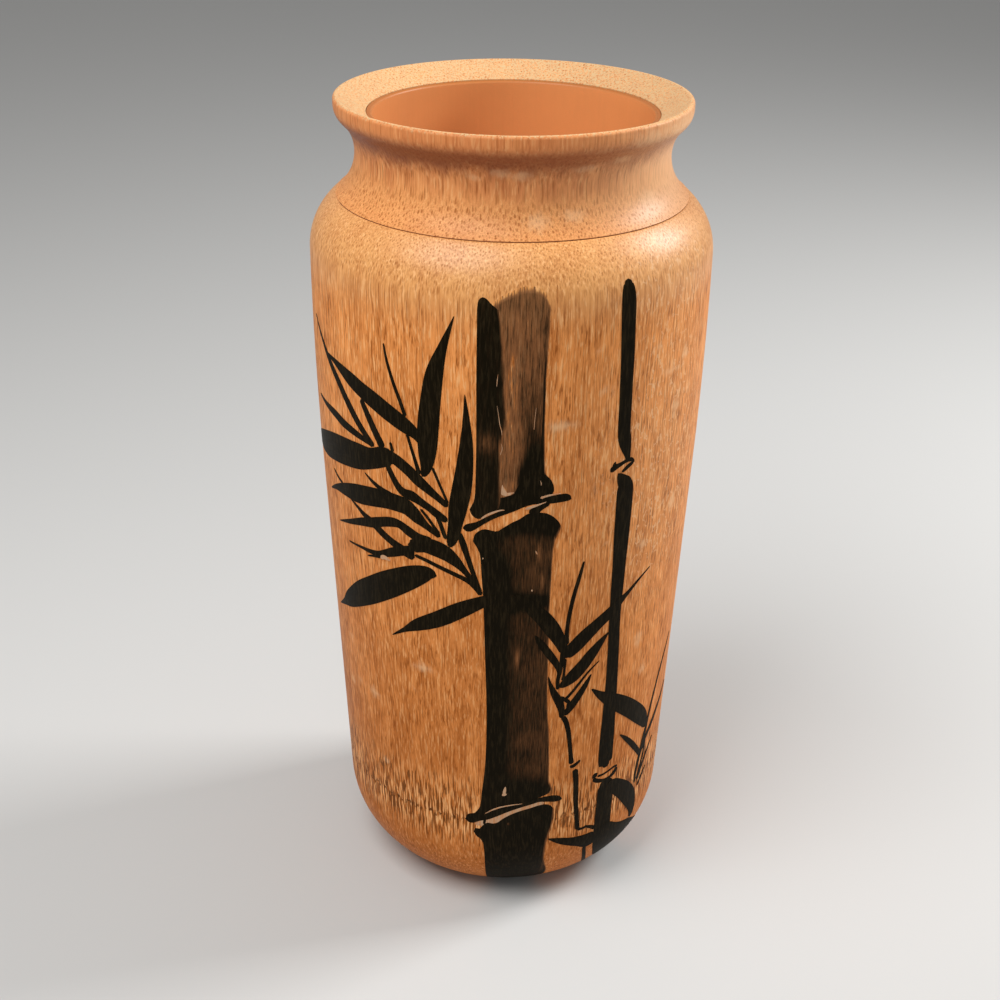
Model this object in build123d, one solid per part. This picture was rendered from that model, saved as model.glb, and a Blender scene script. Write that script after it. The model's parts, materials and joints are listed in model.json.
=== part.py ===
from build123d import *
import math
import os

# A turned bamboo vase, in millimetres. +Z is up, and the origin is the centre of the foot's contact ring.
# The radii are a chain from the mouth outwards, and the heights are a stack from the foot upwards.

# Loose liner cup that holds the water
MOUTH_RADIUS = 40.6        # inside of the liner
LINER_WALL = 1.6
LINER_FLOOR = 2.0
LINER_INSIDE_ROUND = 4.0   # between the liner's floor and its wall
LINER_OUTSIDE_ROUND = 3.0
LINER_EDGE_ROUND = 0.7     # on both edges of the liner's top
LINER_CLEARANCE = 0.3      # all round, in the neck's bore
LINER_DROP = 0.2           # top of the liner below the inner edge of the rim

# Flared neck ring
THROAT_WALL = 3.4          # at the narrowest part of the neck
LIP_OVERHANG = 5.7         # outermost part of the lip beyond the throat
LIP_ROUND = 1.0            # along the crest of the lip
LIP_FACE = 4.6             # upright outside of the lip, from the crest to its lower corner
LIP_UNDER_ROUND = 4.0      # on the lip's lower corner
CREASE_DROP = 8.0          # crease between the lip and the hollow of the neck, below the crest
CREASE_OVERHANG = 2.4      # crease beyond the throat
DISH_DEPTH = 4.6           # inner edge of the rim below the crest of the lip
DISH_EDGE_ROUND = 1.0
THROAT_RISE = 12.4         # from the seam to the throat
FLARE_RISE = 15.7          # from the throat to the crest of the lip
SPIGOT_WALL = 5.0
SPIGOT_LENGTH = 9.0
SPIGOT_CLEARANCE = 0.1     # all round, in the socket of the culm
SOCKET_END_GAP = 1.0       # below the spigot

# Glue between the culm and the neck
GLUE_FILM = 0.25
GLUE_SET_BACK = 0.15       # the film stops short of the outside, so that the seam is a fine groove

# Culm body, turned outside, with its own node as the floor
SEAM_LAND = 4.1            # flat top of the culm, outside the socket
SHOULDER_ROUND = 19.4
SHOULDER_TURN = 54.0       # degrees from upright, at the seam
UPRIGHT_BAND = 5.2         # below the shoulder
BARREL_LENGTH = 60.0       # where the straight taper rounds into the upright band
TAPER_LENGTH = 118.0
WALL_TAPER = 2.75          # degrees from upright
BEND_HEIGHT = 27.0         # top of the rounded bottom
FOOT_RADIUS = 33.5
FOOT_RING_WIDTH = 6.5      # flat ring that the vase stands on
FOOT_HOLLOW = 31.0         # depth of the cut internode under the node's diaphragm
FOOT_HOLLOW_ROUND = 4.0
DIAPHRAGM = 7.0
CAVITY_GAP = 2.0           # round the liner at the floor
CAVITY_TAPER = 0.5         # degrees from upright
CAVITY_ROUND = 2.0         # between the diaphragm and the wall

liner_radius = MOUTH_RADIUS + LINER_WALL
bore_radius = liner_radius + LINER_CLEARANCE
throat_radius = bore_radius + THROAT_WALL
lip_radius = throat_radius + LIP_OVERHANG
spigot_radius = bore_radius + SPIGOT_WALL
socket_radius = spigot_radius + SPIGOT_CLEARANCE
seam_radius = socket_radius + SEAM_LAND

taper = math.radians(WALL_TAPER)
turn = math.radians(SHOULDER_TURN)
belly_radius = seam_radius + SHOULDER_ROUND * (1 - math.cos(turn))
taper_top_radius = belly_radius - BARREL_LENGTH * math.tan(taper / 2)
bend_radius = taper_top_radius - TAPER_LENGTH * math.tan(taper)

taper_top = BEND_HEIGHT + TAPER_LENGTH
barrel_top = taper_top + BARREL_LENGTH
shoulder_start = barrel_top + UPRIGHT_BAND
seam_height = shoulder_start + SHOULDER_ROUND * math.sin(turn)
floor_height = FOOT_HOLLOW + DIAPHRAGM
neck_seat = seam_height + GLUE_FILM
throat_height = seam_height + THROAT_RISE
crest_height = throat_height + FLARE_RISE
dish_height = crest_height - DISH_DEPTH
liner_top = dish_height - LINER_DROP


def polar(centre, radius, angle):
    """Point at an angle, in radians, on a circle in the half plane of radius and height."""
    return (centre[0] + radius * math.cos(angle), centre[1] + radius * math.sin(angle))


def arc(centre, radius, start, end):
    """Arc of a circle between two angles in radians."""
    middle = (start + end) / 2
    return ThreePointArc(polar(centre, radius, start), polar(centre, radius, middle), polar(centre, radius, end))


def chain(*points):
    """Straight lines through points of radius and height."""
    return [Line(a, b) for a, b in zip(points, points[1:])]


def rounded(face, corner, radius):
    """Face with the corner nearest to a point rounded."""
    return fillet(face.vertices().sort_by_distance((corner[0], corner[1], 0))[0], radius)


def turned(face):
    """Solid of revolution about the vase's axis."""
    return revolve(Plane.XZ * face, axis=Axis.Z)


def bottom_arc():
    """Rounded bottom, from the foot's edge to the straight side, which it meets smoothly."""
    across = bend_radius - FOOT_RADIUS
    reach = across * math.cos(taper) - BEND_HEIGHT * math.sin(taper)
    radius = (across ** 2 + BEND_HEIGHT ** 2) / (2 * reach)
    centre = (bend_radius - radius * math.cos(taper), BEND_HEIGHT + radius * math.sin(taper))
    foot_angle = math.atan2(-centre[1], FOOT_RADIUS - centre[0])
    return arc(centre, radius, foot_angle, -taper)


def barrel_arc():
    """Slow curve from the straight taper to the upright band below the shoulder."""
    radius = BARREL_LENGTH / math.sin(taper)
    return arc((belly_radius - radius, barrel_top), radius, -taper, 0)


def body_culm():
    """Thick culm with a rounded bottom and shoulder, its node's diaphragm as the floor, and a neck socket."""
    hollow_radius = FOOT_RADIUS - FOOT_RING_WIDTH
    cavity_floor_radius = liner_radius + CAVITY_GAP
    socket_floor = neck_seat - SPIGOT_LENGTH - SOCKET_END_GAP
    cavity_top_radius = cavity_floor_radius + (socket_floor - floor_height) * math.tan(math.radians(CAVITY_TAPER))
    outside = [
        bottom_arc(),
        Line((bend_radius, BEND_HEIGHT), (taper_top_radius, taper_top)),
        barrel_arc(),
        Line((belly_radius, barrel_top), (belly_radius, shoulder_start)),
        arc((belly_radius - SHOULDER_ROUND, shoulder_start), SHOULDER_ROUND, 0, turn),
    ]
    inside = chain(
        (seam_radius, seam_height),
        (socket_radius, seam_height),
        (socket_radius, socket_floor),
        (cavity_top_radius, socket_floor),
        (cavity_floor_radius, floor_height),
        (0, floor_height),
        (0, FOOT_HOLLOW),
        (hollow_radius, FOOT_HOLLOW),
        (hollow_radius, 0),
        (FOOT_RADIUS, 0),
    )
    face = make_face(outside + inside)
    face = rounded(face, (cavity_floor_radius, floor_height), CAVITY_ROUND)
    face = rounded(face, (hollow_radius, FOOT_HOLLOW), FOOT_HOLLOW_ROUND)
    return turned(face)


def neck_ring():
    """Hollow neck with a thick lip, a dished rim and a spigot that sits in the culm's socket."""
    spigot_end = neck_seat - SPIGOT_LENGTH
    lip = (lip_radius - LIP_ROUND, crest_height - LIP_ROUND)

    # Lower hollow curve: upright at the throat, and through the seam's edge
    across = seam_radius - throat_radius
    rise = throat_height - neck_seat
    lower_radius = (across ** 2 + rise ** 2) / (2 * across)
    lower = arc((throat_radius + lower_radius, throat_height), lower_radius, math.pi + math.asin(rise / lower_radius),
                math.pi)

    # Upper hollow curve: upright at the throat, up to the crease under the lip
    crease = (throat_radius + CREASE_OVERHANG, crest_height - CREASE_DROP)
    climb = crease[1] - throat_height
    upper_radius = (CREASE_OVERHANG ** 2 + climb ** 2) / (2 * CREASE_OVERHANG)
    upper = arc((throat_radius + upper_radius, throat_height), upper_radius, math.pi,
                math.pi - math.asin(climb / upper_radius))
    under_corner = (lip_radius, crest_height - LIP_FACE)
    outside = chain(crease, under_corner, (lip_radius, lip[1]))

    # The rim's dished face runs from the round crest down to the inner edge
    edge_to_lip = (lip[0] - bore_radius, lip[1] - dish_height)
    slope = math.atan2(edge_to_lip[1], edge_to_lip[0]) + math.asin(LIP_ROUND / math.hypot(*edge_to_lip))
    dish_angle = slope + math.pi / 2
    crest = arc(lip, LIP_ROUND, 0, dish_angle)

    rest = chain(
        polar(lip, LIP_ROUND, dish_angle),
        (bore_radius, dish_height),
        (bore_radius, spigot_end),
        (spigot_radius, spigot_end),
        (spigot_radius, neck_seat),
        (seam_radius, neck_seat),
    )
    face = make_face([lower, upper] + outside + [crest] + rest)
    face = rounded(face, under_corner, LIP_UNDER_ROUND)
    return turned(rounded(face, (bore_radius, dish_height), DISH_EDGE_ROUND))


def neck_glue_line():
    """Flat ring of glue between the top of the culm and the neck."""
    outer = seam_radius - GLUE_SET_BACK
    corners = [
        (socket_radius, seam_height),
        (outer, seam_height),
        (outer, neck_seat),
        (socket_radius, neck_seat),
    ]
    return turned(make_face(chain(*corners, corners[0])))


def liner_cup():
    """Straight-sided cup that stands on the diaphragm and ends just below the rim."""
    inner_floor = floor_height + LINER_FLOOR
    corners = [
        (0, floor_height),
        (liner_radius, floor_height),
        (liner_radius, liner_top),
        (MOUTH_RADIUS, liner_top),
        (MOUTH_RADIUS, inner_floor),
        (0, inner_floor),
    ]
    face = make_face(chain(*corners, corners[0]))
    face = rounded(face, corners[1], LINER_OUTSIDE_ROUND)
    face = rounded(face, corners[2], LINER_EDGE_ROUND)
    face = rounded(face, corners[3], LINER_EDGE_ROUND)
    face = rounded(face, corners[4], LINER_INSIDE_ROUND)
    return turned(face)


os.makedirs("parts", exist_ok=True)
for piece in (body_culm, neck_ring, neck_glue_line, liner_cup):
    export_step(piece(), f"parts/{piece.__name__}.step")

print(f"height {crest_height:.2f}, belly radius {belly_radius:.2f}, lip radius {lip_radius:.2f}")
print(f"liner from {floor_height:.2f} to {liner_top:.2f}, seam at {seam_height:.2f}")
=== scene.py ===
import json
import math
import random

import bpy
import numpy as np
from mathutils import Matrix, Vector


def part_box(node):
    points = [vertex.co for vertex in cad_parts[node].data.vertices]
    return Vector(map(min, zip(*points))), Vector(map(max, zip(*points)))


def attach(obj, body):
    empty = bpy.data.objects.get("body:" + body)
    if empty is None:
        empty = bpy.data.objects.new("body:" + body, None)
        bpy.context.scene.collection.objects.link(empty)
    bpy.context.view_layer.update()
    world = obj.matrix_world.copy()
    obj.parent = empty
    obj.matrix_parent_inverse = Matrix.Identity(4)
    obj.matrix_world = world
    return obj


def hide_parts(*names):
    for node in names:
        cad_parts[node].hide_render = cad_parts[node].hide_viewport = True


bl_info = {
    "name": "Bamboo vase",
    "version": (1, 0, 0),
    "blender": (4, 5, 0),
    "location": "3D View > Sidebar > Vase",
    "description": "Dresses a turned bamboo vase: grain, seam, liner and brushed ink bamboo",
    "category": "Object",
}

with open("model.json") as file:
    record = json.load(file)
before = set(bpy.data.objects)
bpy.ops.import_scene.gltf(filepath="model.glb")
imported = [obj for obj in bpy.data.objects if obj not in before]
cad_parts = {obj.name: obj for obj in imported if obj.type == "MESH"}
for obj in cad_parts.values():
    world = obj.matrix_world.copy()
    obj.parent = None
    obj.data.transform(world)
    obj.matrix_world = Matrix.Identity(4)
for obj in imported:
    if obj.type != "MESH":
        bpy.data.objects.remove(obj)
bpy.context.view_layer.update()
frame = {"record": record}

MM = 0.001
FRONT = -math.pi / 2       # direction of the painted front, measured about +Z from +X
RANDOM_SEED = 41
CULM_TURNS = 576           # faces round the culm
NECK_TURNS = 480
LINER_TURNS = 240
CREASE_ROUND = 1.3 * MM    # softened crease under the lip
UNDER_ROUND = 2.4 * MM     # rounded lower corner of the lip
RIM_LAP = 0.26 * MM        # inner edge of the rim, inside the neck's bore
RIM_WEAR = 2.4 * MM        # how far the sanded rim runs down the lip's outside
GRAIN_DEPTH = 0.07 * MM    # relief of the fibres
SENSOR_WIDTH = 36.0        # of the camera, in millimetres

# How far each kind of ink stands above the bamboo
INK_WASH = 0.03 * MM       # thin ink
INK_OVER = 0.045 * MM      # broad pulls of full ink
INK_FULL = 0.06 * MM       # strokes of full ink
INK_SCRAPED = 0.075 * MM   # lines where the ink was scraped off
INK_STEP = 0.001 * MM      # each later stroke lies this much higher
INK_SUNK = 0.15 * MM       # ink below the bamboo's face, so that no gap shows

# Points of the ink: steps count degrees of turn and millimetres of height alike, sizes are in millimetres
CURVE_STEP = 0.5           # along a curve
STROKE_COLUMN = 1.1        # across a stroke, at most
PANEL_STEP = 0.6           # along and across a panel
FINEST_STROKE = 0.06       # narrowest stroke, before its edges waver
LOWEST_INK = 0.3           # no ink is nearer to the foot
STROKE_APART = 9.7         # keeps the brush hairs of one stroke from lining up with the next one's
SCRAPED_LOAD = -0.5        # so little ink that no brush hair leaves any

# Floor and lamps, in metres
FLOOR_HALF = 6.0
FLOOR_DROP = 0.05 * MM     # below the foot, so that the two don't share a plane
WINDOW_PLACE = (0.79, 0.25, 0.71)
WINDOW_SIZE = (0.3, 0.42)
OVERHEAD_PLACE = (-0.29, -0.31, 0.81)
OVERHEAD_SIZE = (0.5, 0.5)
LIT_POINT = (0.0, 0.0, 0.14)

SEAM_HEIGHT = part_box("body_culm")[1].z
BELLY_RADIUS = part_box("body_culm")[1].x
CREST_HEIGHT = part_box("neck_ring")[1].z
LIP_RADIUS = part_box("neck_ring")[1].x
SPIGOT_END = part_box("neck_ring")[0].z
LINER_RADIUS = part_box("liner_cup")[1].x
FLOOR_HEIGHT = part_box("liner_cup")[0].z
LINER_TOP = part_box("liner_cup")[1].z
NECK_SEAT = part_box("neck_glue_line")[1].z
GLUE_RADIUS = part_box("neck_glue_line")[1].x
MOUTH_RADIUS = next(m for m in frame["record"]["mounts"] if m["name"] == "mouth")["dims"]["r_mm"] * MM

# Rings of the culm's outside: heights in millimetres, and the number of rings up to each
CULM_RINGS = ((24.0, 18), (50.0, 47), (206.0, 52), (SEAM_HEIGHT / MM, 21))

# The culm's node, in millimetres and in degrees from the front
NODE_HEIGHT = 36.8
NODE_BAND = 15.0           # no pit reaches further from the node
PIT_STEP = 1.3             # degrees from one place for a pit to the next
INKED_NODE = ((-14.5, 21.5), (24.0, 28.5), (31.0, 62.0))   # stretches under ink, which have no pits

# Rubbed places: degrees from the front, height, half width and half height in millimetres
CULM_SCUFFS = (
    (14.2, 175.8, 5.6, 2.2), (24.0, 198.0, 1.6, 1.6), (26.0, 185.5, 2.0, 1.4), (44.0, 193.0, 3.0, 1.6),
    (49.0, 186.0, 3.5, 2.0), (54.0, 173.0, 3.0, 2.6), (57.0, 189.0, 3.0, 2.2), (-27.0, 92.0, 4.2, 1.9),
    (-49.0, 74.0, 3.0, 2.4), (-57.0, 75.0, 2.2, 1.4), (-64.0, 71.0, 2.8, 1.8), (-62.0, 88.0, 2.4, 2.0),
    (-31.0, 84.0, 2.6, 1.2), (-45.0, 49.0, 1.8, 1.4),
    (47.0, 96.0, 2.4, 3.2), (51.0, 84.0, 2.6, 2.0), (44.0, 131.0, 2.2, 2.6), (58.0, 140.0, 2.6, 4.0),
    (120.0, 150.0, 4.0, 2.2), (150.0, 96.0, 3.0, 3.0), (-140.0, 170.0, 3.6, 1.8),
    (-110.0, 64.0, 3.0, 2.2), (178.0, 58.0, 4.4, 1.8), (98.0, 112.0, 2.4, 3.4), (-165.0, 120.0, 2.6, 2.6),
)
NECK_SCUFFS = (
    (-4.0, 243.0, 3.6, 1.7), (3.0, 242.4, 3.4, 1.9), (-13.0, 241.5, 2.4, 1.2), (24.0, 243.6, 4.5, 1.3),
    (38.0, 245.0, 4.5, 1.5), (8.0, 230.5, 4.0, 2.8), (20.0, 231.5, 4.0, 2.0), (52.0, 232.0, 6.0, 3.0),
    (46.0, 250.0, 8.0, 3.0), (62.0, 250.5, 8.0, 2.6), (150.0, 237.0, 3.0, 2.0), (-120.0, 241.0, 2.4, 1.6),
)

# Broad places, given the same way: fine scratches on the culm, which also carry a pale haze that is partly
# painted sheen, and the neck's side towards the window, painted paler as painted light and given glossier
# varnish
CULM_SCRATCHES_AND_SHEEN = ((50.0, 160.0, 26.0, 48.0), (52.0, 214.0, 24.0, 14.0), (140.0, 110.0, 24.0, 40.0))
NECK_WINDOW_LIT = (68.0, 242.0, 30.0, 20.0)


def length(name, description, default):
    """A size in metres that shows in the sidebar."""
    return bpy.props.FloatProperty(name=name, description=description, default=default, unit="LENGTH",
                                   precision=5)


def angle(name, description, degrees):
    """An angle that shows in the sidebar."""
    return bpy.props.FloatProperty(name=name, description=description, default=math.radians(degrees),
                                   subtype="ANGLE")


def colour(name, description, rgb):
    """A linear colour that shows in the sidebar."""
    return bpy.props.FloatVectorProperty(name=name, description=description, default=rgb, subtype="COLOR",
                                         size=3, min=0.0, max=1.0)


class VaseSizes(bpy.types.PropertyGroup):
    """Sizes of the turned pieces."""
    foot_radius: length("Foot radius", "Outside of the ring that the vase stands on", 33.5 * MM)
    foot_ring: length("Foot ring", "Width of the ring that the vase stands on", 6.5 * MM)
    foot_hollow: length("Foot hollow", "Depth of the hollow under the floor", 31.0 * MM)
    bend_height: length("Bend height", "Top of the rounded bottom", 27.0 * MM)
    taper_length: length("Taper length", "Length of the straight side", 118.0 * MM)
    wall_taper: angle("Wall taper", "Slope of the straight side from upright", 2.75)
    barrel_length: length("Barrel length", "Where the side rounds into the belly", 60.0 * MM)
    belly_radius: length("Belly radius", "Widest part of the culm", BELLY_RADIUS)
    shoulder_round: length("Shoulder round", "Radius of the rounded shoulder", 19.4 * MM)
    shoulder_turn: angle("Shoulder turn", "How far the shoulder turns in at the seam", 54.0)
    cavity_gap: length("Cavity gap", "Room round the liner at the floor", 2.0 * MM)
    cavity_taper: angle("Cavity taper", "Slope of the culm's inside from upright", 0.5)
    socket_radius: length("Socket radius", "Socket in the top of the culm", 47.6 * MM)
    socket_depth: length("Socket depth", "Depth of the socket below the neck's seat", 10.0 * MM)
    spigot_radius: length("Spigot radius", "Spigot under the neck", 47.5 * MM)
    bore_radius: length("Neck bore", "Inside of the neck", 42.5 * MM)
    throat_radius: length("Throat radius", "Narrowest part of the neck, outside", 45.9 * MM)
    throat_rise: length("Throat rise", "Throat above the seam", 12.4 * MM)
    lip_round: length("Lip round", "Radius along the crest of the lip", 1.0 * MM)
    lip_face: length("Lip face", "Upright outside of the lip, from the crest down", 4.6 * MM)
    crease_drop: length("Crease drop", "Crease under the lip, below the crest", 8.0 * MM)
    crease_overhang: length("Crease overhang", "Crease under the lip, beyond the throat", 2.4 * MM)
    dish_depth: length("Dish depth", "Inner edge of the rim below the lip's crest", 4.6 * MM)
    edge_round: length("Edge round", "Softened edges of the turned bamboo", 0.25 * MM)
    fine_edge: length("Fine edge", "Softened edges of the rim's inside and of the liner", 0.12 * MM)
    liner_floor: length("Liner floor", "Thickness of the liner's floor", 2.0 * MM)
    liner_brim: length("Liner brim", "Rounded inner edge of the liner's top", 0.8 * MM)
    liner_inside_round: length("Liner inside round", "Between floor and wall, inside", 4.0 * MM)
    liner_outside_round: length("Liner outside round", "Between floor and wall, outside", 3.0 * MM)


class VaseColours(bpy.types.PropertyGroup):
    """Colours of the finishes, linear."""
    bamboo_pale: colour("Pale bamboo", "Soft tissue between the fibres", (0.92, 0.345, 0.095))
    # Deep bamboo is also the painted shade that darkens the culm towards the bottom.
    bamboo_deep: colour("Deep bamboo", "Deeper orange bands of the culm", (0.54, 0.165, 0.032))
    neck_pale: colour("Pale neck", "Soft tissue of the neck", (0.87, 0.355, 0.122))
    neck_deep: colour("Deep neck", "Deeper bands of the neck", (0.6, 0.19, 0.062))
    # Partly painted light: paler colour for faces that turn up to the lamps on the shoulder and the neck's
    # flare, besides their paler cut tissue.
    shoulder: colour("Shoulder", "Paler tissue on the shoulder and the neck's flare", (0.83, 0.4, 0.132))
    fibre: colour("Fibre", "Dark fibre bundles", (0.29, 0.072, 0.007))
    # The fleck colour is also the painted highlight on the strips between the node's slits.
    fleck: colour("Fleck", "Pale flecks between the fibres and splits at the node", (1.0, 0.53, 0.22))
    pit: colour("Pit", "Dark pits and torn fibres of the node", (0.13, 0.038, 0.005))
    # Painted shade: the crease under the lip is coloured darker where the lip shadows the throat.
    lip_shade: colour("Lip shade", "Shade painted in the crease under the lip", (0.235, 0.07, 0.033))
    rim: colour("Rim", "Sanded end grain of the rim", (0.645, 0.46, 0.243))
    # Scuff is also the paler tint of the neck's side towards the window, which there is painted light.
    scuff: colour("Scuff", "Rubbed and scratched places, and the neck's faded side", (0.92, 0.58, 0.32))
    ink: colour("Ink", "Brushed black ink", (0.007, 0.0045, 0.0012))
    ink_grain: colour("Ink grain", "Ink on the raised fibres", (0.02, 0.013, 0.005))
    ink_wash: colour("Ink wash", "Thin ink over bamboo", (0.19, 0.079, 0.033))
    scraped: colour("Scraped", "Bamboo where the ink was scraped off", (0.58, 0.35, 0.205))
    liner: colour("Liner", "Orange plastic", (0.76, 0.305, 0.104))
    # Painted shade: the liner's upturned top edge is darkened so that it looks no brighter than the inside.
    liner_brim: colour("Liner brim", "Shaded top edge of the liner", (0.4, 0.125, 0.026))
    glue: colour("Glue", "Dark glue in the seam", (0.19, 0.056, 0.017))
    floor: colour("Floor", "Plain pale floor", (0.62, 0.615, 0.60))


class Value:
    """One output of a finish's nodes. Arithmetic on it adds Math nodes."""

    def __init__(self, finish, socket):
        self.finish = finish
        self.socket = socket

    def out(self, name):
        """Another output of the same node."""
        return Value(self.finish, self.socket.node.outputs[name])

    def maths(self, operation, *values):
        """A Math node on values and numbers."""
        return self.finish.node("ShaderNodeMath", {"operation": operation}, dict(enumerate(values)))

    def __add__(self, other):
        return self.maths("ADD", self, other)

    def __sub__(self, other):
        return self.maths("SUBTRACT", self, other)

    def __rsub__(self, other):
        return self.maths("SUBTRACT", other, self)

    def __mul__(self, other):
        return self.maths("MULTIPLY", self, other)

    def __abs__(self):
        return self.maths("ABSOLUTE", self)

    def clamp(self):
        """The value kept between 0 and 1."""
        return self.finish.node("ShaderNodeClamp", {}, {"Value": self})

    __radd__ = __add__
    __rmul__ = __mul__


class Finish:
    """A material or world, and the nodes that make it."""

    def __init__(self, owner):
        self.owner = owner
        owner.use_nodes = True
        self.tree = owner.node_tree
        self.shader = self.tree.nodes.get("Principled BSDF") or self.tree.nodes.get("Background")

    def plug(self, socket, value):
        """Sets a socket to a number or colour, or links it to a value."""
        if isinstance(value, Value):
            self.tree.links.new(value.socket, socket)
        elif socket.type == "RGBA" and len(value) == 3:
            socket.default_value = (*value, 1.0)
        else:
            socket.default_value = value

    def node(self, kind, settings, sockets, out=0):
        """Adds a node: its settings first, then its sockets by name or number."""
        made = self.tree.nodes.new(kind)
        for key, setting in settings.items():
            setattr(made, key, setting)
        for key, value in sockets.items():
            self.plug(made.inputs[key], value)
        return Value(self, made.outputs[out])

    def surface(self, **sockets):
        """Sets the shader's sockets; an underscore stands for a space."""
        for key, value in sockets.items():
            self.plug(self.shader.inputs[key.replace("_", " ")], value)

    def mix(self, share, first, second):
        """Colour between two colours."""
        return self.node("ShaderNodeMix", {"data_type": "RGBA"}, {0: share, 6: first, 7: second}, out=2)

    def rise(self, value, low, high):
        """0 below low, 1 above high, smooth between."""
        return self.node("ShaderNodeMapRange", {"interpolation_type": "SMOOTHSTEP"},
                         {"Value": value, "From Min": low, "From Max": high})

    def fall(self, value, low, high):
        """1 below low, 0 above high, smooth between."""
        return 1.0 - self.rise(value, low, high)

    def painted(self, name, out="Fac"):
        """What the mesh carries at its points: a number, or three of them as Vector."""
        return self.node("ShaderNodeAttribute", {"attribute_name": name}, {}, out)

    def noise(self, place, scale, detail=2.0, roughness=0.5):
        """Soft noise of about 0 to 1 at a place."""
        return self.node("ShaderNodeTexNoise", {}, {"Vector": place, "Scale": scale, "Detail": detail,
                                                    "Roughness": roughness})

    def vector(self, operation, *values):
        """A Vector Math node on places and triples."""
        return self.node("ShaderNodeVectorMath", {"operation": operation}, dict(enumerate(values)))

    def millimetres(self, shift=(0.0, 0.0, 0.0)):
        """Place on the object in millimetres, shifted to give another stretch of grain."""
        at = self.node("ShaderNodeTexCoord", {}, {}, "Object")
        return self.vector("MULTIPLY_ADD", at, (1.0 / MM, 1.0 / MM, 1.0 / MM), shift)

    def stretched(self, place, along):
        """Place in millimetres, with the way along the culm shortened."""
        return self.vector("MULTIPLY", place, (1.0, 1.0, along))

    def shifted(self, place, noise, reach):
        """Place in millimetres, moved about by the colour of a noise."""
        swing = self.vector("SUBTRACT", noise.out("Color"), (0.5, 0.5, 0.5))
        return self.vector("MULTIPLY_ADD", swing, (reach, reach, 0.0), place)

    def bump(self, height, depth):
        """Surface normal from a height of 0 to 1 that stands for a depth in metres."""
        return self.node("ShaderNodeBump", {}, {"Height": height, "Distance": depth, "Strength": 1.0})


class Bamboo:
    """Colour and relief of turned bamboo: upright fibre bundles, cut by the turned face.

    The steep side cuts the bundles into streaks, and the shoulder and rim cut them into dots. Pitch is
    the millimetres between bundles, core the radius of their dark part as a share of it, and depth how
    strongly they show."""

    def __init__(self, finish, pale, deep, colours, shift=(0.0, 0.0, 0.0), pitch=0.74, core=0.3,
                 depth=0.88):
        place = finish.millimetres(shift)
        height = finish.node("ShaderNodeSeparateXYZ", {}, {0: place}, out="Z")
        swayed = finish.shifted(place, finish.noise(place, 0.03, 1.0), 2.0)
        shaken = finish.shifted(swayed, finish.noise(finish.stretched(swayed, 0.35), 0.35, 1.0), 0.9)
        broken = finish.rise(finish.noise(finish.stretched(swayed, 0.2), 0.9, 1.0), 0.36, 0.6)

        def bundles(scale):
            """Dark cores of fibre bundles, some stronger than others."""
            cells = finish.node("ShaderNodeTexVoronoi", {"voronoi_dimensions": "2D"},
                                {"Vector": shaken, "Scale": scale, "Randomness": 0.85})
            strength = finish.node("ShaderNodeSeparateColor", {}, {0: cells.out("Color")}, out="Red")
            return finish.fall(cells, 0.6 * core, 1.4 * core) * (0.4 + 0.6 * strength)

        crown = finish.rise(height, 198.0, 219.0)
        thick = bundles(1.0 / pitch) * (0.45 + 0.55 * broken)
        thin = 0.5 * bundles(2.0 / pitch) * (1.0 - 0.6 * broken)
        shown = 0.65 + 0.35 * crown - 0.35 * finish.fall(height, 14.0, 27.0)
        self.streak = ((thick + thin) * shown).clamp()

        fine = finish.noise(finish.stretched(swayed, 0.05), 2.2, 3.0, 0.6)
        dash = finish.noise(finish.stretched(swayed, 0.12), 1.26 / pitch, 2.0, 0.6)
        band = finish.noise(finish.stretched(swayed, 0.1), 0.2, 2.0)
        blotch = finish.noise(finish.stretched(place, 0.5), 0.22, 2.0)
        cloud = finish.noise(place, 0.04, 2.0)
        # Painted shade: the culm's colour is deeper, with fewer pale flecks, towards the bottom and most of
        # all near the foot, where less light reaches.
        low = finish.fall(height, 15.0, 190.0)
        uneven = 1.1 * (band - 0.5) + 1.3 * (fine - 0.5) + 0.7 * (cloud - 0.5) + 0.9 * (blotch - 0.5)
        share = (uneven + 0.34 + 0.5 * low + 0.3 * finish.fall(height, 8.0, 45.0)).clamp()
        # Painted light: the shoulder takes the paler shoulder colour, with weaker fibres. This is partly
        # for its cut end grain and partly for the light it catches as it turns up.
        shoulder = crown * finish.fall(height, 225.9, 226.3)
        soft = finish.mix(shoulder, pale, colours.shoulder)
        plain = finish.mix(share * (1.0 - 0.5 * shoulder), soft, deep)
        pale_dash = (0.74 * depth - 0.35 * low) * finish.fall(dash, 0.35, 0.46)
        flecked = finish.mix(pale_dash, plain, colours.fleck)
        patchy = finish.rise(blotch, 0.36, 0.62)
        dark = finish.rise(dash, 0.53, 0.66) * (0.3 + 0.55 * patchy)
        dashed = finish.mix(dark * (1.0 - 0.6 * crown), flecked, colours.fibre)
        self.colour = finish.mix((depth - 0.28 * shoulder) * self.streak, dashed, colours.fibre)
        self.crown = crown
        self.swayed = swayed
        self.fine = fine
        self.dash = dash
        self.place = place
        self.height = height
        self.relief = 0.6 * (1.0 - self.streak) + 0.4 * fine


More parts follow.
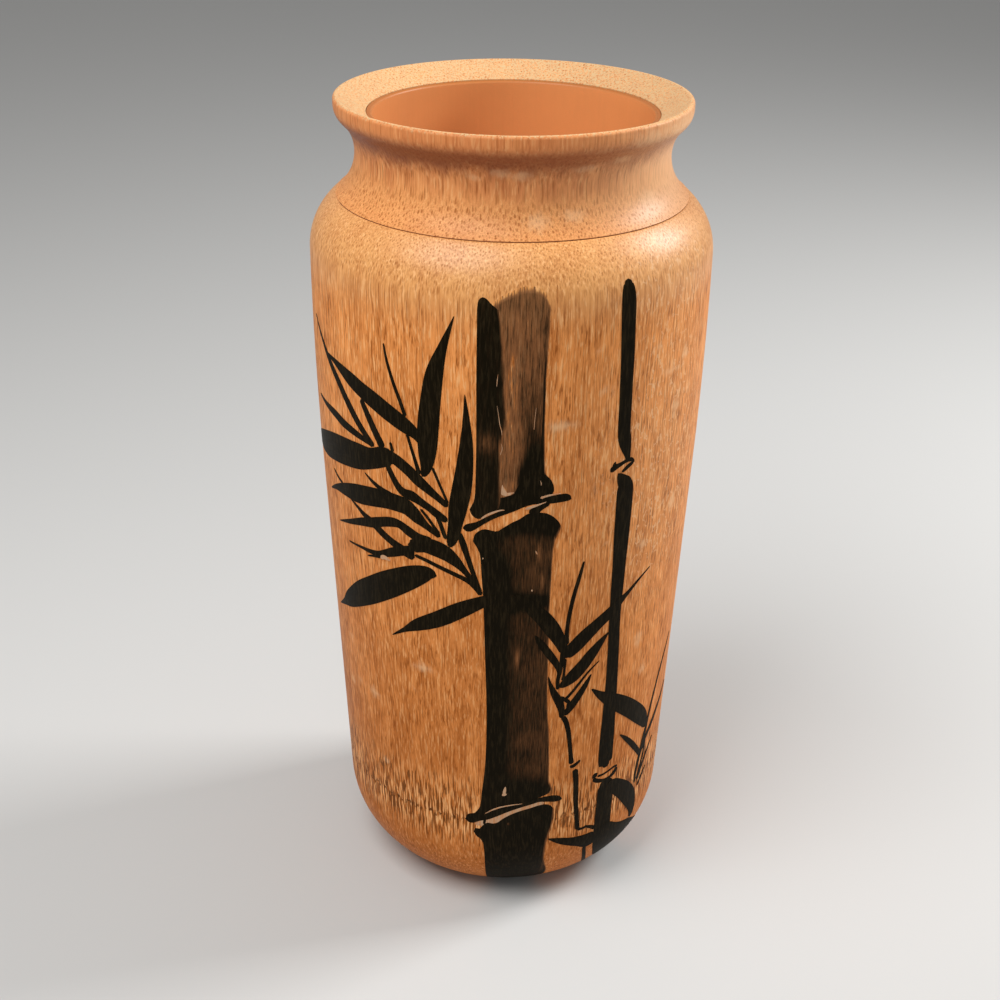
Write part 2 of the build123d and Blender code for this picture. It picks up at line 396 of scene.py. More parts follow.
def rubbed(finish, bamboo, colours, base, strength):
    """Colour with rubbed patches and thin curled scratches where the mesh carries them, and a pale haze
    over the scratched places that is partly dull varnish and partly painted sheen.

    Gives the share that is rubbed as well."""
    mark = finish.painted("scuff")
    field = finish.painted("scratched")
    torn = finish.noise(finish.stretched(bamboo.place, 0.4), 0.8, 3.0, 0.6)
    curl = finish.noise(finish.stretched(bamboo.place, 0.6), 0.45, 2.0)
    thread = finish.fall(abs(curl - 0.5), 0.015, 0.05)
    scratch = thread * finish.rise(torn, 0.48, 0.56) * finish.rise(field, 0.16, 0.8)
    patch = finish.rise(mark + 1.1 * (torn - 0.5), 0.25, 1.1)
    # Over the scratched places a pale haze is added. It is partly dull scratched varnish and partly painted
    # sheen of the light from the right.
    share = (patch + scratch + 0.22 * field).clamp()
    return finish.mix(strength * share, base, colours.scuff), share


def varnished(finish, bamboo, shade, share, roughness, coat):
    """Material of satin varnish over bamboo, duller where a share of it is rubbed."""
    finish.surface(Base_Color=shade, Roughness=roughness + 0.16 * bamboo.fine + 0.12 * share,
                   Normal=finish.bump(bamboo.relief, GRAIN_DEPTH), Specular_IOR_Level=0.07,
                   Coat_Weight=coat, Coat_Roughness=0.38)
    return finish.owner


def culm_finish(colours):
    """Varnished bamboo of the culm, with rubbed marks, the dark pits and slits of its node, and painted
    highlights between the slits.
    """
    finish = Finish(bpy.data.materials.new("culm_bamboo"))
    bamboo = Bamboo(finish, colours.bamboo_pale, colours.bamboo_deep, colours)
    worn, share = rubbed(finish, bamboo, colours, bamboo.colour, 0.55)
    wander = finish.noise(finish.stretched(bamboo.place, 0.05), 0.45, 3.0, 0.6)
    chain = finish.fall(abs(bamboo.height + 8.0 * (wander - 0.5) - NODE_HEIGHT), 0.4, 1.2)
    ragged = finish.noise(finish.stretched(bamboo.place, 0.5), 1.1, 2.0)
    pit = finish.rise(finish.painted("pit") + 0.9 * (ragged - 0.5), 0.3, 0.62)
    near = finish.rise(bamboo.height, 23.0, 34.0) * finish.fall(bamboo.height, 37.0, 60.0)
    torn = finish.noise(finish.stretched(bamboo.place, 0.065), 2.1, 1.5)
    slit = finish.rise(torn + 0.11 * near, 0.62, 0.67) * finish.rise(near, 0.05, 0.35)
    # Painted highlights: pale strips between the node's slits, where torn fibres catch the light.
    node_highlight = 0.75 * near * finish.fall(torn, 0.38, 0.46)
    scar = (0.7 * pit + 0.85 * slit + 0.75 * chain * finish.rise(ragged, 0.51, 0.6)).clamp()
    shade = finish.mix(scar, finish.mix(node_highlight, worn, colours.fleck), colours.pit)
    coat = 0.02 + 0.8 * bamboo.crown * (1.0 - 0.7 * bamboo.streak)
    return varnished(finish, bamboo, shade, share, 0.4, coat)


def neck_finish(colours):
    """Varnished bamboo of the neck: a dotted flare and a side towards the window painted paler as painted
    light, painted shade under the lip, and a sanded rim.
    """
    finish = Finish(bpy.data.materials.new("neck_bamboo"))
    bamboo = Bamboo(finish, colours.neck_pale, colours.neck_deep, colours, shift=(37.0, 11.0, 0.0),
                    pitch=1.0, core=0.27, depth=0.62)
    rim = finish.rise(finish.painted("rim") + 0.9 * (bamboo.dash - 0.5), 0.35, 0.65)
    grit = finish.noise(bamboo.swayed, 2.6, 2.0, 0.7)
    speckle = (0.6 * bamboo.streak + 0.9 * finish.rise(grit, 0.46, 0.63)).clamp()
    sanded = finish.mix(speckle, colours.rim, bamboo.colour)
    # Painted light on the side towards the window: the neck is tinted paler there and mottled on the lip.
    # It keeps less of the darker lip face and of the painted shade under the lip, and its varnish is
    # glossier.
    window_lit = finish.painted("window_lit")
    mottle = finish.rise(finish.noise(bamboo.place, 0.7, 3.0, 0.65), 0.38, 0.6)
    painted_window_light = window_lit * (0.6 + 0.35 * finish.rise(bamboo.height, 245.0, 249.0) * mottle)
    # Painted light: where the flare below the throat turns up to the lamps, it takes the paler shoulder
    # colour under its dots.
    low = finish.fall(bamboo.height, 231.0, 239.0)
    ground = finish.mix(0.6 * low, bamboo.colour, colours.shoulder)
    network = finish.mix(0.5 * low * finish.rise(grit, 0.44, 0.58), ground, colours.neck_deep)
    dotted = finish.mix(0.7 * low * bamboo.streak, network, colours.fibre)
    tinted = finish.mix(painted_window_light, dotted, colours.scuff)
    lip_face = finish.rise(bamboo.height, 247.0, 250.0)
    lip_side = finish.mix(0.42 * lip_face * (1.0 - window_lit), tinted, colours.neck_deep)
    # Painted shade in the crease under the lip, weaker on the side towards the window.
    ragged = bamboo.height + 7.0 * (finish.noise(finish.stretched(bamboo.place, 0.2), 0.25, 3.0) - 0.5)
    lip_shade_mask = finish.rise(ragged, 240.0, 246.0) * finish.fall(bamboo.height, 247.6, 250.8)
    side = finish.mix(0.8 * lip_shade_mask * (1.0 - 0.6 * window_lit), lip_side, colours.lip_shade)
    sheen = (0.12 + (0.12 + 0.6 * window_lit) * low) * (1.0 - 0.8 * bamboo.streak)
    worn, share = rubbed(finish, bamboo, colours, finish.mix(rim, side, sanded), 0.36)
    return varnished(finish, bamboo, worn, share, 0.38, sheen * (1.0 - rim))


def ink_finish(colours):
    """Black ink brushed on bamboo: thin where the brush was dry, so that the bamboo shows through."""
    finish = Finish(bpy.data.materials.new("brushed_ink"))
    bamboo = Bamboo(finish, colours.bamboo_pale, colours.bamboo_deep, colours)
    load = finish.painted("load")
    brush = finish.painted("brush", "Vector")
    hairs = finish.noise(finish.stretched(brush, 0.07), 2.6, 4.0, 0.65)
    pool = finish.noise(finish.stretched(brush, 0.5), 0.2, 3.0)
    cover = load + (1.0 - load) * (3.0 * (hairs - 0.5) + 0.8 * (pool - 0.5))
    scraped = finish.mix(0.5 * finish.rise(bamboo.dash, 0.46, 0.62), colours.scraped, colours.bamboo_deep)
    bare = finish.mix(finish.fall(load, -0.4, -0.1), bamboo.colour, scraped)
    thin = finish.mix(0.86 * finish.rise(cover, 0.05, 0.45), bare, colours.ink_wash)
    black = finish.mix(finish.rise(bamboo.dash, 0.45, 0.68), colours.ink, colours.ink_grain)
    shade = finish.mix(finish.rise(cover, 0.45, 0.95), thin, black)
    finish.surface(Base_Color=shade, Roughness=0.42 + 0.16 * hairs, Specular_IOR_Level=0.04,
                   Normal=finish.bump(0.4 * hairs + 0.6 * bamboo.relief, 0.05 * MM))
    return finish.owner


def liner_finish(colours):
    """Semi-gloss orange plastic, faintly clouded, with fine upright moulding lines and a brim darkened as
    painted shade.
    """
    finish = Finish(bpy.data.materials.new("orange_liner"))
    place = finish.millimetres()
    cloud = finish.noise(place, 0.045, 3.0)
    draw = finish.noise(finish.stretched(place, 0.03), 0.8, 2.0)
    speck = finish.noise(place, 1.6, 2.0)
    darker = tuple(0.72 * c for c in colours.liner)
    orange = finish.mix((0.7 * (cloud - 0.35) + 0.16 * (draw - 0.5) + 0.12 * (speck - 0.5)).clamp(),
                        colours.liner, darker)
    # Painted shade on the brim, so that its upturned face looks no brighter than the inside.
    shade = finish.mix(finish.painted("brim"), orange, colours.liner_brim)
    finish.surface(Base_Color=shade, Roughness=0.33 + 0.14 * cloud, Specular_IOR_Level=0.25,
                   Normal=finish.bump(draw + 0.4 * speck, 0.04 * MM))
    return finish.owner


def glue_finish(colours):
    """Dark dried glue with a grainy face."""
    finish = Finish(bpy.data.materials.new("dried_glue"))
    grain = finish.noise(finish.millimetres(), 0.9, 3.0)
    lighter = tuple(1.9 * c for c in colours.glue)
    finish.surface(Base_Color=finish.mix(grain, colours.glue, lighter), Roughness=0.55 + 0.2 * grain,
                   Normal=finish.bump(grain, 0.05 * MM))
    return finish.owner


def steps(count):
    """Even shares from 0 to 1, both ends included."""
    return [i / count for i in range(count + 1)]


def arc(centre, radius, start, end, spacing):
    """Points of radius and height along an arc."""
    count = max(2, math.ceil(abs(end - start) * radius / spacing))
    return [(centre[0] + radius * math.cos(start + t * (end - start)),
             centre[1] + radius * math.sin(start + t * (end - start))) for t in steps(count)]


def line(start, end, spacing):
    """Points of radius and height along a straight line."""
    count = max(1, math.ceil(math.dist(start, end) / spacing))
    return [(start[0] + t * (end[0] - start[0]), start[1] + t * (end[1] - start[1])) for t in steps(count)]


def soft_corner(before, corner, after, radius, count=3):
    """Points that round a corner between two others."""
    cut = []
    for other in (before, after):
        share = radius / math.dist(corner, other)
        cut.append(tuple(c + share * (o - c) for c, o in zip(corner, other)))
    return [tuple((1 - t) ** 2 * a + 2 * t * (1 - t) * c + t * t * b
                  for a, c, b in zip(cut[0], corner, cut[1])) for t in steps(count)]


def joined(*runs):
    """One outline of several runs, without the points that repeat."""
    outline = []
    for run in runs:
        for point in run:
            if not outline or math.dist(outline[-1], point) > 1e-7:
                outline.append(point)
    return outline


def culm_side(sizes):
    """Radius of the culm's outside at each height, as a function of arrays of heights."""
    taper = sizes.wall_taper
    barrel_base = sizes.bend_height + sizes.taper_length
    barrel_top = barrel_base + sizes.barrel_length
    shoulder = SEAM_HEIGHT - sizes.shoulder_round * math.sin(sizes.shoulder_turn)
    bend_radius = (sizes.belly_radius - sizes.barrel_length * math.tan(taper / 2)
                   - sizes.taper_length * math.tan(taper))
    across = bend_radius - sizes.foot_radius
    reach = across * math.cos(taper) - sizes.bend_height * math.sin(taper)
    bottom = (across ** 2 + sizes.bend_height ** 2) / (2 * reach)
    bottom_centre = (bend_radius - bottom * math.cos(taper), sizes.bend_height + bottom * math.sin(taper))
    barrel = sizes.barrel_length / math.sin(taper)

    def radius(height):
        height = np.asarray(height, float)
        low = bottom_centre[0] + np.sqrt(np.maximum(bottom ** 2 - (height - bottom_centre[1]) ** 2, 0))
        side = bend_radius + (height - sizes.bend_height) * math.tan(taper)
        belly = sizes.belly_radius - barrel + np.sqrt(barrel ** 2 - np.minimum(height - barrel_top, 0) ** 2)
        turn = np.clip(height - shoulder, 0, sizes.shoulder_round)
        top = sizes.belly_radius - sizes.shoulder_round + np.sqrt(sizes.shoulder_round ** 2 - turn ** 2)
        below = [height < top_of_run for top_of_run in (sizes.bend_height, barrel_base, shoulder)]
        return np.select(below, [low, side, belly], top)

    return radius


def culm_levels():
    """Heights of the culm's rings, closest together at the node and on the shoulder."""
    levels = [0.0]
    for top, rings in CULM_RINGS:
        levels.extend(np.linspace(levels[-1], top, rings + 1)[1:])
    return np.array(levels) * MM


def culm_skin(turn, height):
    """What a real turning adds to a perfect radius: slightly out of round, with faint tool marks."""
    oval = 0.05 * np.cos(2 * turn + 0.7) + 0.04 * np.cos(3 * turn + 2.1 + 9.0 * height)
    ripple = 0.008 * np.sin(2 * np.pi * height / (1.9 * MM) + 2.0 * np.sin(3 * turn))
    foot_and_seam = np.clip(height / (4 * MM), 0, 1) * np.clip((SEAM_HEIGHT + MM - height) / (3 * MM), 0, 1)
    return (-0.14 + oval + ripple) * MM * foot_and_seam


def soft_spot(turn, height, radius, spot):
    """Bell of height 1 at a spot of degrees, height, half width and half height in millimetres."""
    degrees, level, half_width, half_height = spot
    away = (turn - FRONT - math.radians(degrees) + math.pi) % (2 * math.pi) - math.pi
    across = away * radius / (half_width * MM)
    up = (height - level * MM) / (half_height * MM)
    return np.exp(-across ** 2 - up ** 2)


def marks(turn, height, radius, spots):
    """Strongest of several soft spots at each place."""
    return np.max([soft_spot(turn, height, radius, spot) for spot in spots], axis=0)


def node_pits():
    """Pits and torn fibres along the culm's node: degrees, height, half width, half height, depth."""
    dice = random.Random(RANDOM_SEED)
    pits = []
    for degrees in np.arange(-178.0, 180.0, PIT_STEP):
        if any(low < degrees < high for low, high in INKED_NODE):
            continue
        where = degrees + dice.uniform(-0.6, 0.6)
        line_height = NODE_HEIGHT + dice.gauss(0, 0.6)
        if dice.random() < 0.4:
            pits.append((where, line_height, dice.uniform(0.35, 0.6), dice.uniform(0.5, 0.9),
                         dice.uniform(0.1, 0.3)))
        if dice.random() < 0.3:
            beside = line_height + dice.choice((dice.uniform(2.0, 8.0), dice.uniform(-6.0, -1.5)))
            pits.append((where, beside, 0.4, dice.uniform(1.0, 2.4), dice.uniform(0.05, 0.15)))
    return pits


def lathe(name, outline, turns, skin=None, skinned=0, closed=False):
    """Mesh of revolution. Points of the outline on the axis become single vertices.

    A skin, given turns and a height, is added to the radius of the first so many points."""
    turn = np.arange(turns) * 2 * math.pi / turns
    places, rings = [], []
    for index, (radius, height) in enumerate(outline):
        rings.append((len(places), radius > 0))
        if radius > 0:
            reach = radius + (skin(turn, height) if skin and index < skinned else 0.0)
            reach = np.broadcast_to(reach, turn.shape)
            places.extend(zip(reach * np.cos(turn), reach * np.sin(turn), np.full(turns, height)))
        else:
            places.append((0.0, 0.0, height))
    faces = []
    pairs = list(zip(rings, rings[1:] + rings[:1] if closed else rings[1:]))
    for (low, low_ring), (high, high_ring) in pairs:
        for i in range(turns):
            j = (i + 1) % turns
            if low_ring and high_ring:
                faces.append((low + i, low + j, high + j, high + i))
            elif low_ring:
                faces.append((low + i, low + j, high))
            else:
                faces.append((low, high + j, high + i))
    mesh = bpy.data.meshes.new(name)
    mesh.from_pydata(places, [], faces)
    mesh.polygons.foreach_set("use_smooth", [True] * len(mesh.polygons))
    mesh.update()
    return mesh


def vertex_places(mesh):
    """Places of all vertices, a row each."""
    flat = np.empty(len(mesh.vertices) * 3)
    mesh.vertices.foreach_get("co", flat)
    return flat.reshape(-1, 3)


def around(mesh):
    """Turn, radius and height of each vertex."""
    x, y, z = vertex_places(mesh).T
    return np.arctan2(y, x), np.hypot(x, y), z


def paint(mesh, name, values, kind="FLOAT", field="value"):
    """Stores a value at each vertex for the finish to read."""
    layer = mesh.attributes.new(name, kind, "POINT")
    layer.data.foreach_set(field, np.ascontiguousarray(values, dtype=np.float32).ravel())


def show(name, mesh, finish, body, node=None):
    """Puts a piece in the scene, riding on its body."""
    mesh.materials.append(finish)
    piece = bpy.data.objects.new(name, mesh)
    bpy.context.scene.collection.objects.link(piece)
    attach(piece, body)
    if node:
        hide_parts(node)


def press_pits(mesh, outer):
    """Presses the node's pits into the culm's outer vertices, and gives how pitted each vertex is."""
    turn, reach, height = around(mesh)
    pit = np.zeros(len(turn))
    dent = np.zeros(len(turn))
    band = outer & (abs(height - NODE_HEIGHT * MM) < NODE_BAND * MM)
    for *spot, depth in node_pits():
        bell = soft_spot(turn[band], height[band], reach[band], spot)
        dent[band] = np.maximum(dent[band], bell * depth * MM)
        pit[band] = np.maximum(pit[band], bell * min(1.0, 0.35 + 2.2 * depth))
    inner = 1.0 - dent / np.maximum(reach, MM)
    pressed = vertex_places(mesh) * np.stack([inner, inner, np.ones_like(inner)], 1)
    mesh.vertices.foreach_set("co", pressed.ravel())
    mesh.update()
    return pit


class VASE_OT_culm(bpy.types.Operator):
    """Turned culm with its node, hollow foot and socket"""
    bl_idname = "vase.culm"
    bl_label = "Culm body"

    def execute(self, context):
        sizes = context.scene.vase_sizes
        radius = culm_side(sizes)
        edge = sizes.edge_round
        seam_radius = float(radius(SEAM_HEIGHT))
        outside = [(float(radius(h)), float(h)) for h in culm_levels()]
        hollow = sizes.foot_radius - sizes.foot_ring
        socket = sizes.socket_radius
        cavity = LINER_RADIUS + sizes.cavity_gap
        socket_floor = NECK_SEAT - sizes.socket_depth
        cavity_top = cavity + (socket_floor - FLOOR_HEIGHT) * math.tan(sizes.cavity_taper)
        foot_edge = soft_corner((hollow, 0.0), outside[0], outside[1], edge)
        seam_edge = soft_corner(outside[-2], outside[-1], (socket, SEAM_HEIGHT), edge)
        under = joined(line((0.0, sizes.foot_hollow), (hollow, sizes.foot_hollow), 8 * MM),
                       line((hollow, sizes.foot_hollow), (hollow, 0.0), 8 * MM),
                       line((hollow, 0.0), (hollow + sizes.foot_ring, 0.0), 3 * MM)[:-1])
        skin_run = joined(under, foot_edge, outside[1:-1], seam_edge)
        inside = joined(line((seam_radius, SEAM_HEIGHT), (socket, SEAM_HEIGHT), 3 * MM)[1:],
                        line((socket, SEAM_HEIGHT), (socket, socket_floor), 6 * MM),
                        line((cavity_top, socket_floor), (cavity, FLOOR_HEIGHT), 25 * MM),
                        line((cavity, FLOOR_HEIGHT), (0.0, FLOOR_HEIGHT), 12 * MM))

        mesh = lathe("culm_body", joined(skin_run, inside), CULM_TURNS, culm_skin, len(skin_run))
        turn, reach, height = around(mesh)
        outer = reach > radius(height) - 0.6 * MM
        paint(mesh, "pit", press_pits(mesh, outer))
        paint(mesh, "scuff", marks(turn, height, reach, CULM_SCUFFS) * outer)
        # Scratched places, which also carry a pale haze of painted sheen.
        paint(mesh, "scratched", marks(turn, height, reach, CULM_SCRATCHES_AND_SHEEN) * outer)
        show("culm_body", mesh, culm_finish(context.scene.vase_colours), "vase", "body_culm")
        return {"FINISHED"}


class VASE_OT_neck(bpy.types.Operator):
    """Hollow neck ring with a thick lip and a dished rim"""
    bl_idname = "vase.neck"
    bl_label = "Neck ring"

    def execute(self, context):
        sizes = context.scene.vase_sizes
        seam_radius = float(culm_side(sizes)(SEAM_HEIGHT))
        throat = (sizes.throat_radius, SEAM_HEIGHT + sizes.throat_rise)
        lip = (LIP_RADIUS - sizes.lip_round, CREST_HEIGHT - sizes.lip_round)
        dish = (sizes.bore_radius - RIM_LAP, CREST_HEIGHT - sizes.dish_depth)
        across, rise = seam_radius - throat[0], throat[1] - NECK_SEAT
        lower = (across ** 2 + rise ** 2) / (2 * across)
        crease = (throat[0] + sizes.crease_overhang, CREST_HEIGHT - sizes.crease_drop)
        corner = (LIP_RADIUS, CREST_HEIGHT - sizes.lip_face)
        climb = crease[1] - throat[1]
        upper = (sizes.crease_overhang ** 2 + climb ** 2) / (2 * sizes.crease_overhang)
        to_lip = (lip[0] - dish[0], lip[1] - dish[1])
        slope = math.atan2(to_lip[1], to_lip[0]) + math.asin(sizes.lip_round / math.hypot(*to_lip))
        foot_turn = math.pi + math.asin(rise / lower)
        crease_turn = math.pi - math.asin(climb / upper)
        under_curve = arc((throat[0] + lower, throat[1]), lower, foot_turn, math.pi, 0.7 * MM)
        upper_curve = arc((throat[0] + upper, throat[1]), upper, math.pi, crease_turn, 0.7 * MM)
        crease_bend = soft_corner(upper_curve[-3], crease, corner, CREASE_ROUND, 5)
        under_bend = soft_corner(crease, corner, (LIP_RADIUS, lip[1]), UNDER_ROUND, 9)
        lip_curve = arc(lip, sizes.lip_round, 0.0, slope + math.pi / 2, 0.2 * MM)
        seat = (seam_radius, NECK_SEAT)
        seat_edge = soft_corner((sizes.spigot_radius, NECK_SEAT), seat, under_curve[1], sizes.edge_round)
        rim_edge = soft_corner(lip_curve[-1], dish, (dish[0], dish[1] - 10 * MM), sizes.fine_edge)
        skin_run = joined(seat_edge, under_curve[1:], upper_curve[:-2], crease_bend,
                          line(crease_bend[-1], under_bend[0], 0.5 * MM), under_bend,
                          line(under_bend[-1], lip_curve[0], 0.6 * MM), lip_curve,
                          line(lip_curve[-1], rim_edge[0], 0.5 * MM)[:-2])
        bore = sizes.bore_radius
        rest = joined(rim_edge, line((bore, dish[1] - MM), (bore, SPIGOT_END), 6 * MM),
                      line((bore, SPIGOT_END), (sizes.spigot_radius, SPIGOT_END), 3 * MM),
                      line((sizes.spigot_radius, SPIGOT_END), (sizes.spigot_radius, NECK_SEAT), 3 * MM),
                      line((sizes.spigot_radius, NECK_SEAT), (seat_edge[0][0], NECK_SEAT), 2 * MM)[:-1])

        def skin(turn, height):
            wave = 0.06 * np.cos(2 * turn + 1.9) + 0.03 * np.cos(5 * turn + 0.4 + 60.0 * height)
            return (-0.1 + wave) * MM * np.clip((height - NECK_SEAT) / (2 * MM), 0, 1)

        mesh = lathe("neck_ring_bamboo", joined(skin_run, rest), NECK_TURNS, skin, len(skin_run),
                     closed=True)
        turn, reach, height = around(mesh)
        facing = np.empty(len(turn) * 3)
        mesh.vertex_normals.foreach_get("vector", facing)
        outward = np.sum(facing.reshape(-1, 3)[:, :2] * np.stack([np.cos(turn), np.sin(turn)], 1), axis=1)
        over = 0.5 * np.clip((height - CREST_HEIGHT) / RIM_WEAR + 1, 0, 1) * (reach > throat[0])
        rim = np.maximum(np.clip((0.6 - outward) / 0.3, 0, 1) * (height > dish[1] - MM), over)
        paint(mesh, "scuff", marks(turn, height, reach, NECK_SCUFFS))
        paint(mesh, "rim", rim)
        # Side towards the window, painted paler as painted light and given glossier varnish.
        paint(mesh, "window_lit", soft_spot(turn, height, reach, NECK_WINDOW_LIT))
        finish = neck_finish(context.scene.vase_colours)
        show("neck_ring_bamboo", mesh, finish, "vase", "neck_ring")
        return {"FINISHED"}


class VASE_OT_glue(bpy.types.Operator):
    """Film of glue in the seam, with a slightly uneven edge"""
    bl_idname = "vase.glue"
    bl_label = "Glue line"

    def execute(self, context):
        sizes = context.scene.vase_sizes
        lap = 0.02 * MM
        low, high = SEAM_HEIGHT - lap, NECK_SEAT + lap
        outline = joined(line((GLUE_RADIUS, low), (GLUE_RADIUS, high), 0.1 * MM),
                         line((sizes.socket_radius, high), (sizes.socket_radius, low), MM))

        def skin(turn, height):
            return (-0.05 + 0.03 * np.cos(7 * turn) + 0.02 * np.cos(23 * turn + 1.0)) * MM

        mesh = lathe("seam_glue", outline, NECK_TURNS, skin, len(outline) - 2, closed=True)
        show("seam_glue", mesh, glue_finish(context.scene.vase_colours), "vase", "neck_glue_line")
        return {"FINISHED"}


class VASE_OT_liner(bpy.types.Operator):
    """Loose orange cup that holds the water"""
    bl_idname = "vase.liner"
    bl_label = "Liner cup"

    def execute(self, context):
        sizes = context.scene.vase_sizes
        edge = sizes.fine_edge
        brim = sizes.liner_brim
        outside, inside = sizes.liner_outside_round, sizes.liner_inside_round
        floor = FLOOR_HEIGHT + sizes.liner_floor
        quarter = math.pi / 2
        outline = joined(
            line((0.0, FLOOR_HEIGHT), (LINER_RADIUS - outside, FLOOR_HEIGHT), 10 * MM),
            arc((LINER_RADIUS - outside, FLOOR_HEIGHT + outside), outside, -quarter, 0.0, 0.5 * MM),
            line((LINER_RADIUS, FLOOR_HEIGHT + outside), (LINER_RADIUS, LINER_TOP - edge), 5 * MM),
            arc((LINER_RADIUS - edge, LINER_TOP - edge), edge, 0.0, quarter, 0.1 * MM),
            arc((MOUTH_RADIUS + brim, LINER_TOP - brim), brim, quarter, math.pi, 0.12 * MM),
            line((MOUTH_RADIUS, LINER_TOP - brim), (MOUTH_RADIUS, floor + inside), 3 * MM),
            arc((MOUTH_RADIUS - inside, floor + inside), inside, 0.0, -quarter, 0.5 * MM),
            line((MOUTH_RADIUS - inside, floor), (0.0, floor), 6 * MM))

        def skin(turn, height):
            return (-0.05 + 0.04 * np.cos(3 * turn + 25.0 * height)) * MM

        mesh = lathe("liner_plastic", outline, LINER_TURNS, skin, len(outline) - 1)
        # How far down the brim's painted shade reaches.
        paint(mesh, "brim", np.clip((around(mesh)[2] - LINER_TOP + brim) / brim, 0, 1))
        show("liner_plastic", mesh, liner_finish(context.scene.vase_colours), "liner", "liner_cup")
        return {"FINISHED"}


def smooth(points, spacing):
    """Curve through points, about evenly spaced; columns after the first two follow along."""
    given = np.array(points, float)
    ends = np.vstack([2 * given[0] - given[1], given, 2 * given[-1] - given[-2]])
    runs = []
    for a, b, c, d in zip(ends, ends[1:], ends[2:], ends[3:]):
        count = max(1, math.ceil(math.dist(b[:2], c[:2]) / spacing))
        t = (np.arange(count) / count)[:, None]
        runs.append(0.5 * (2 * b + (c - a) * t + (2 * a - 5 * b + 4 * c - d) * t ** 2
                           + (3 * b - a - 3 * c + d) * t ** 3))
    return np.vstack(runs + [given[-1:]])


def evenly(points, count):
    """Points at even steps along the smooth curve through given points."""
    run = smooth(points, CURVE_STEP)
    gone = np.concatenate([[0.0], np.cumsum(np.hypot(*np.diff(run[:, :2], axis=0).T))])
    at = np.linspace(0.0, gone[-1], count)
    return np.stack([np.interp(at, gone, column) for column in run.T], 1)


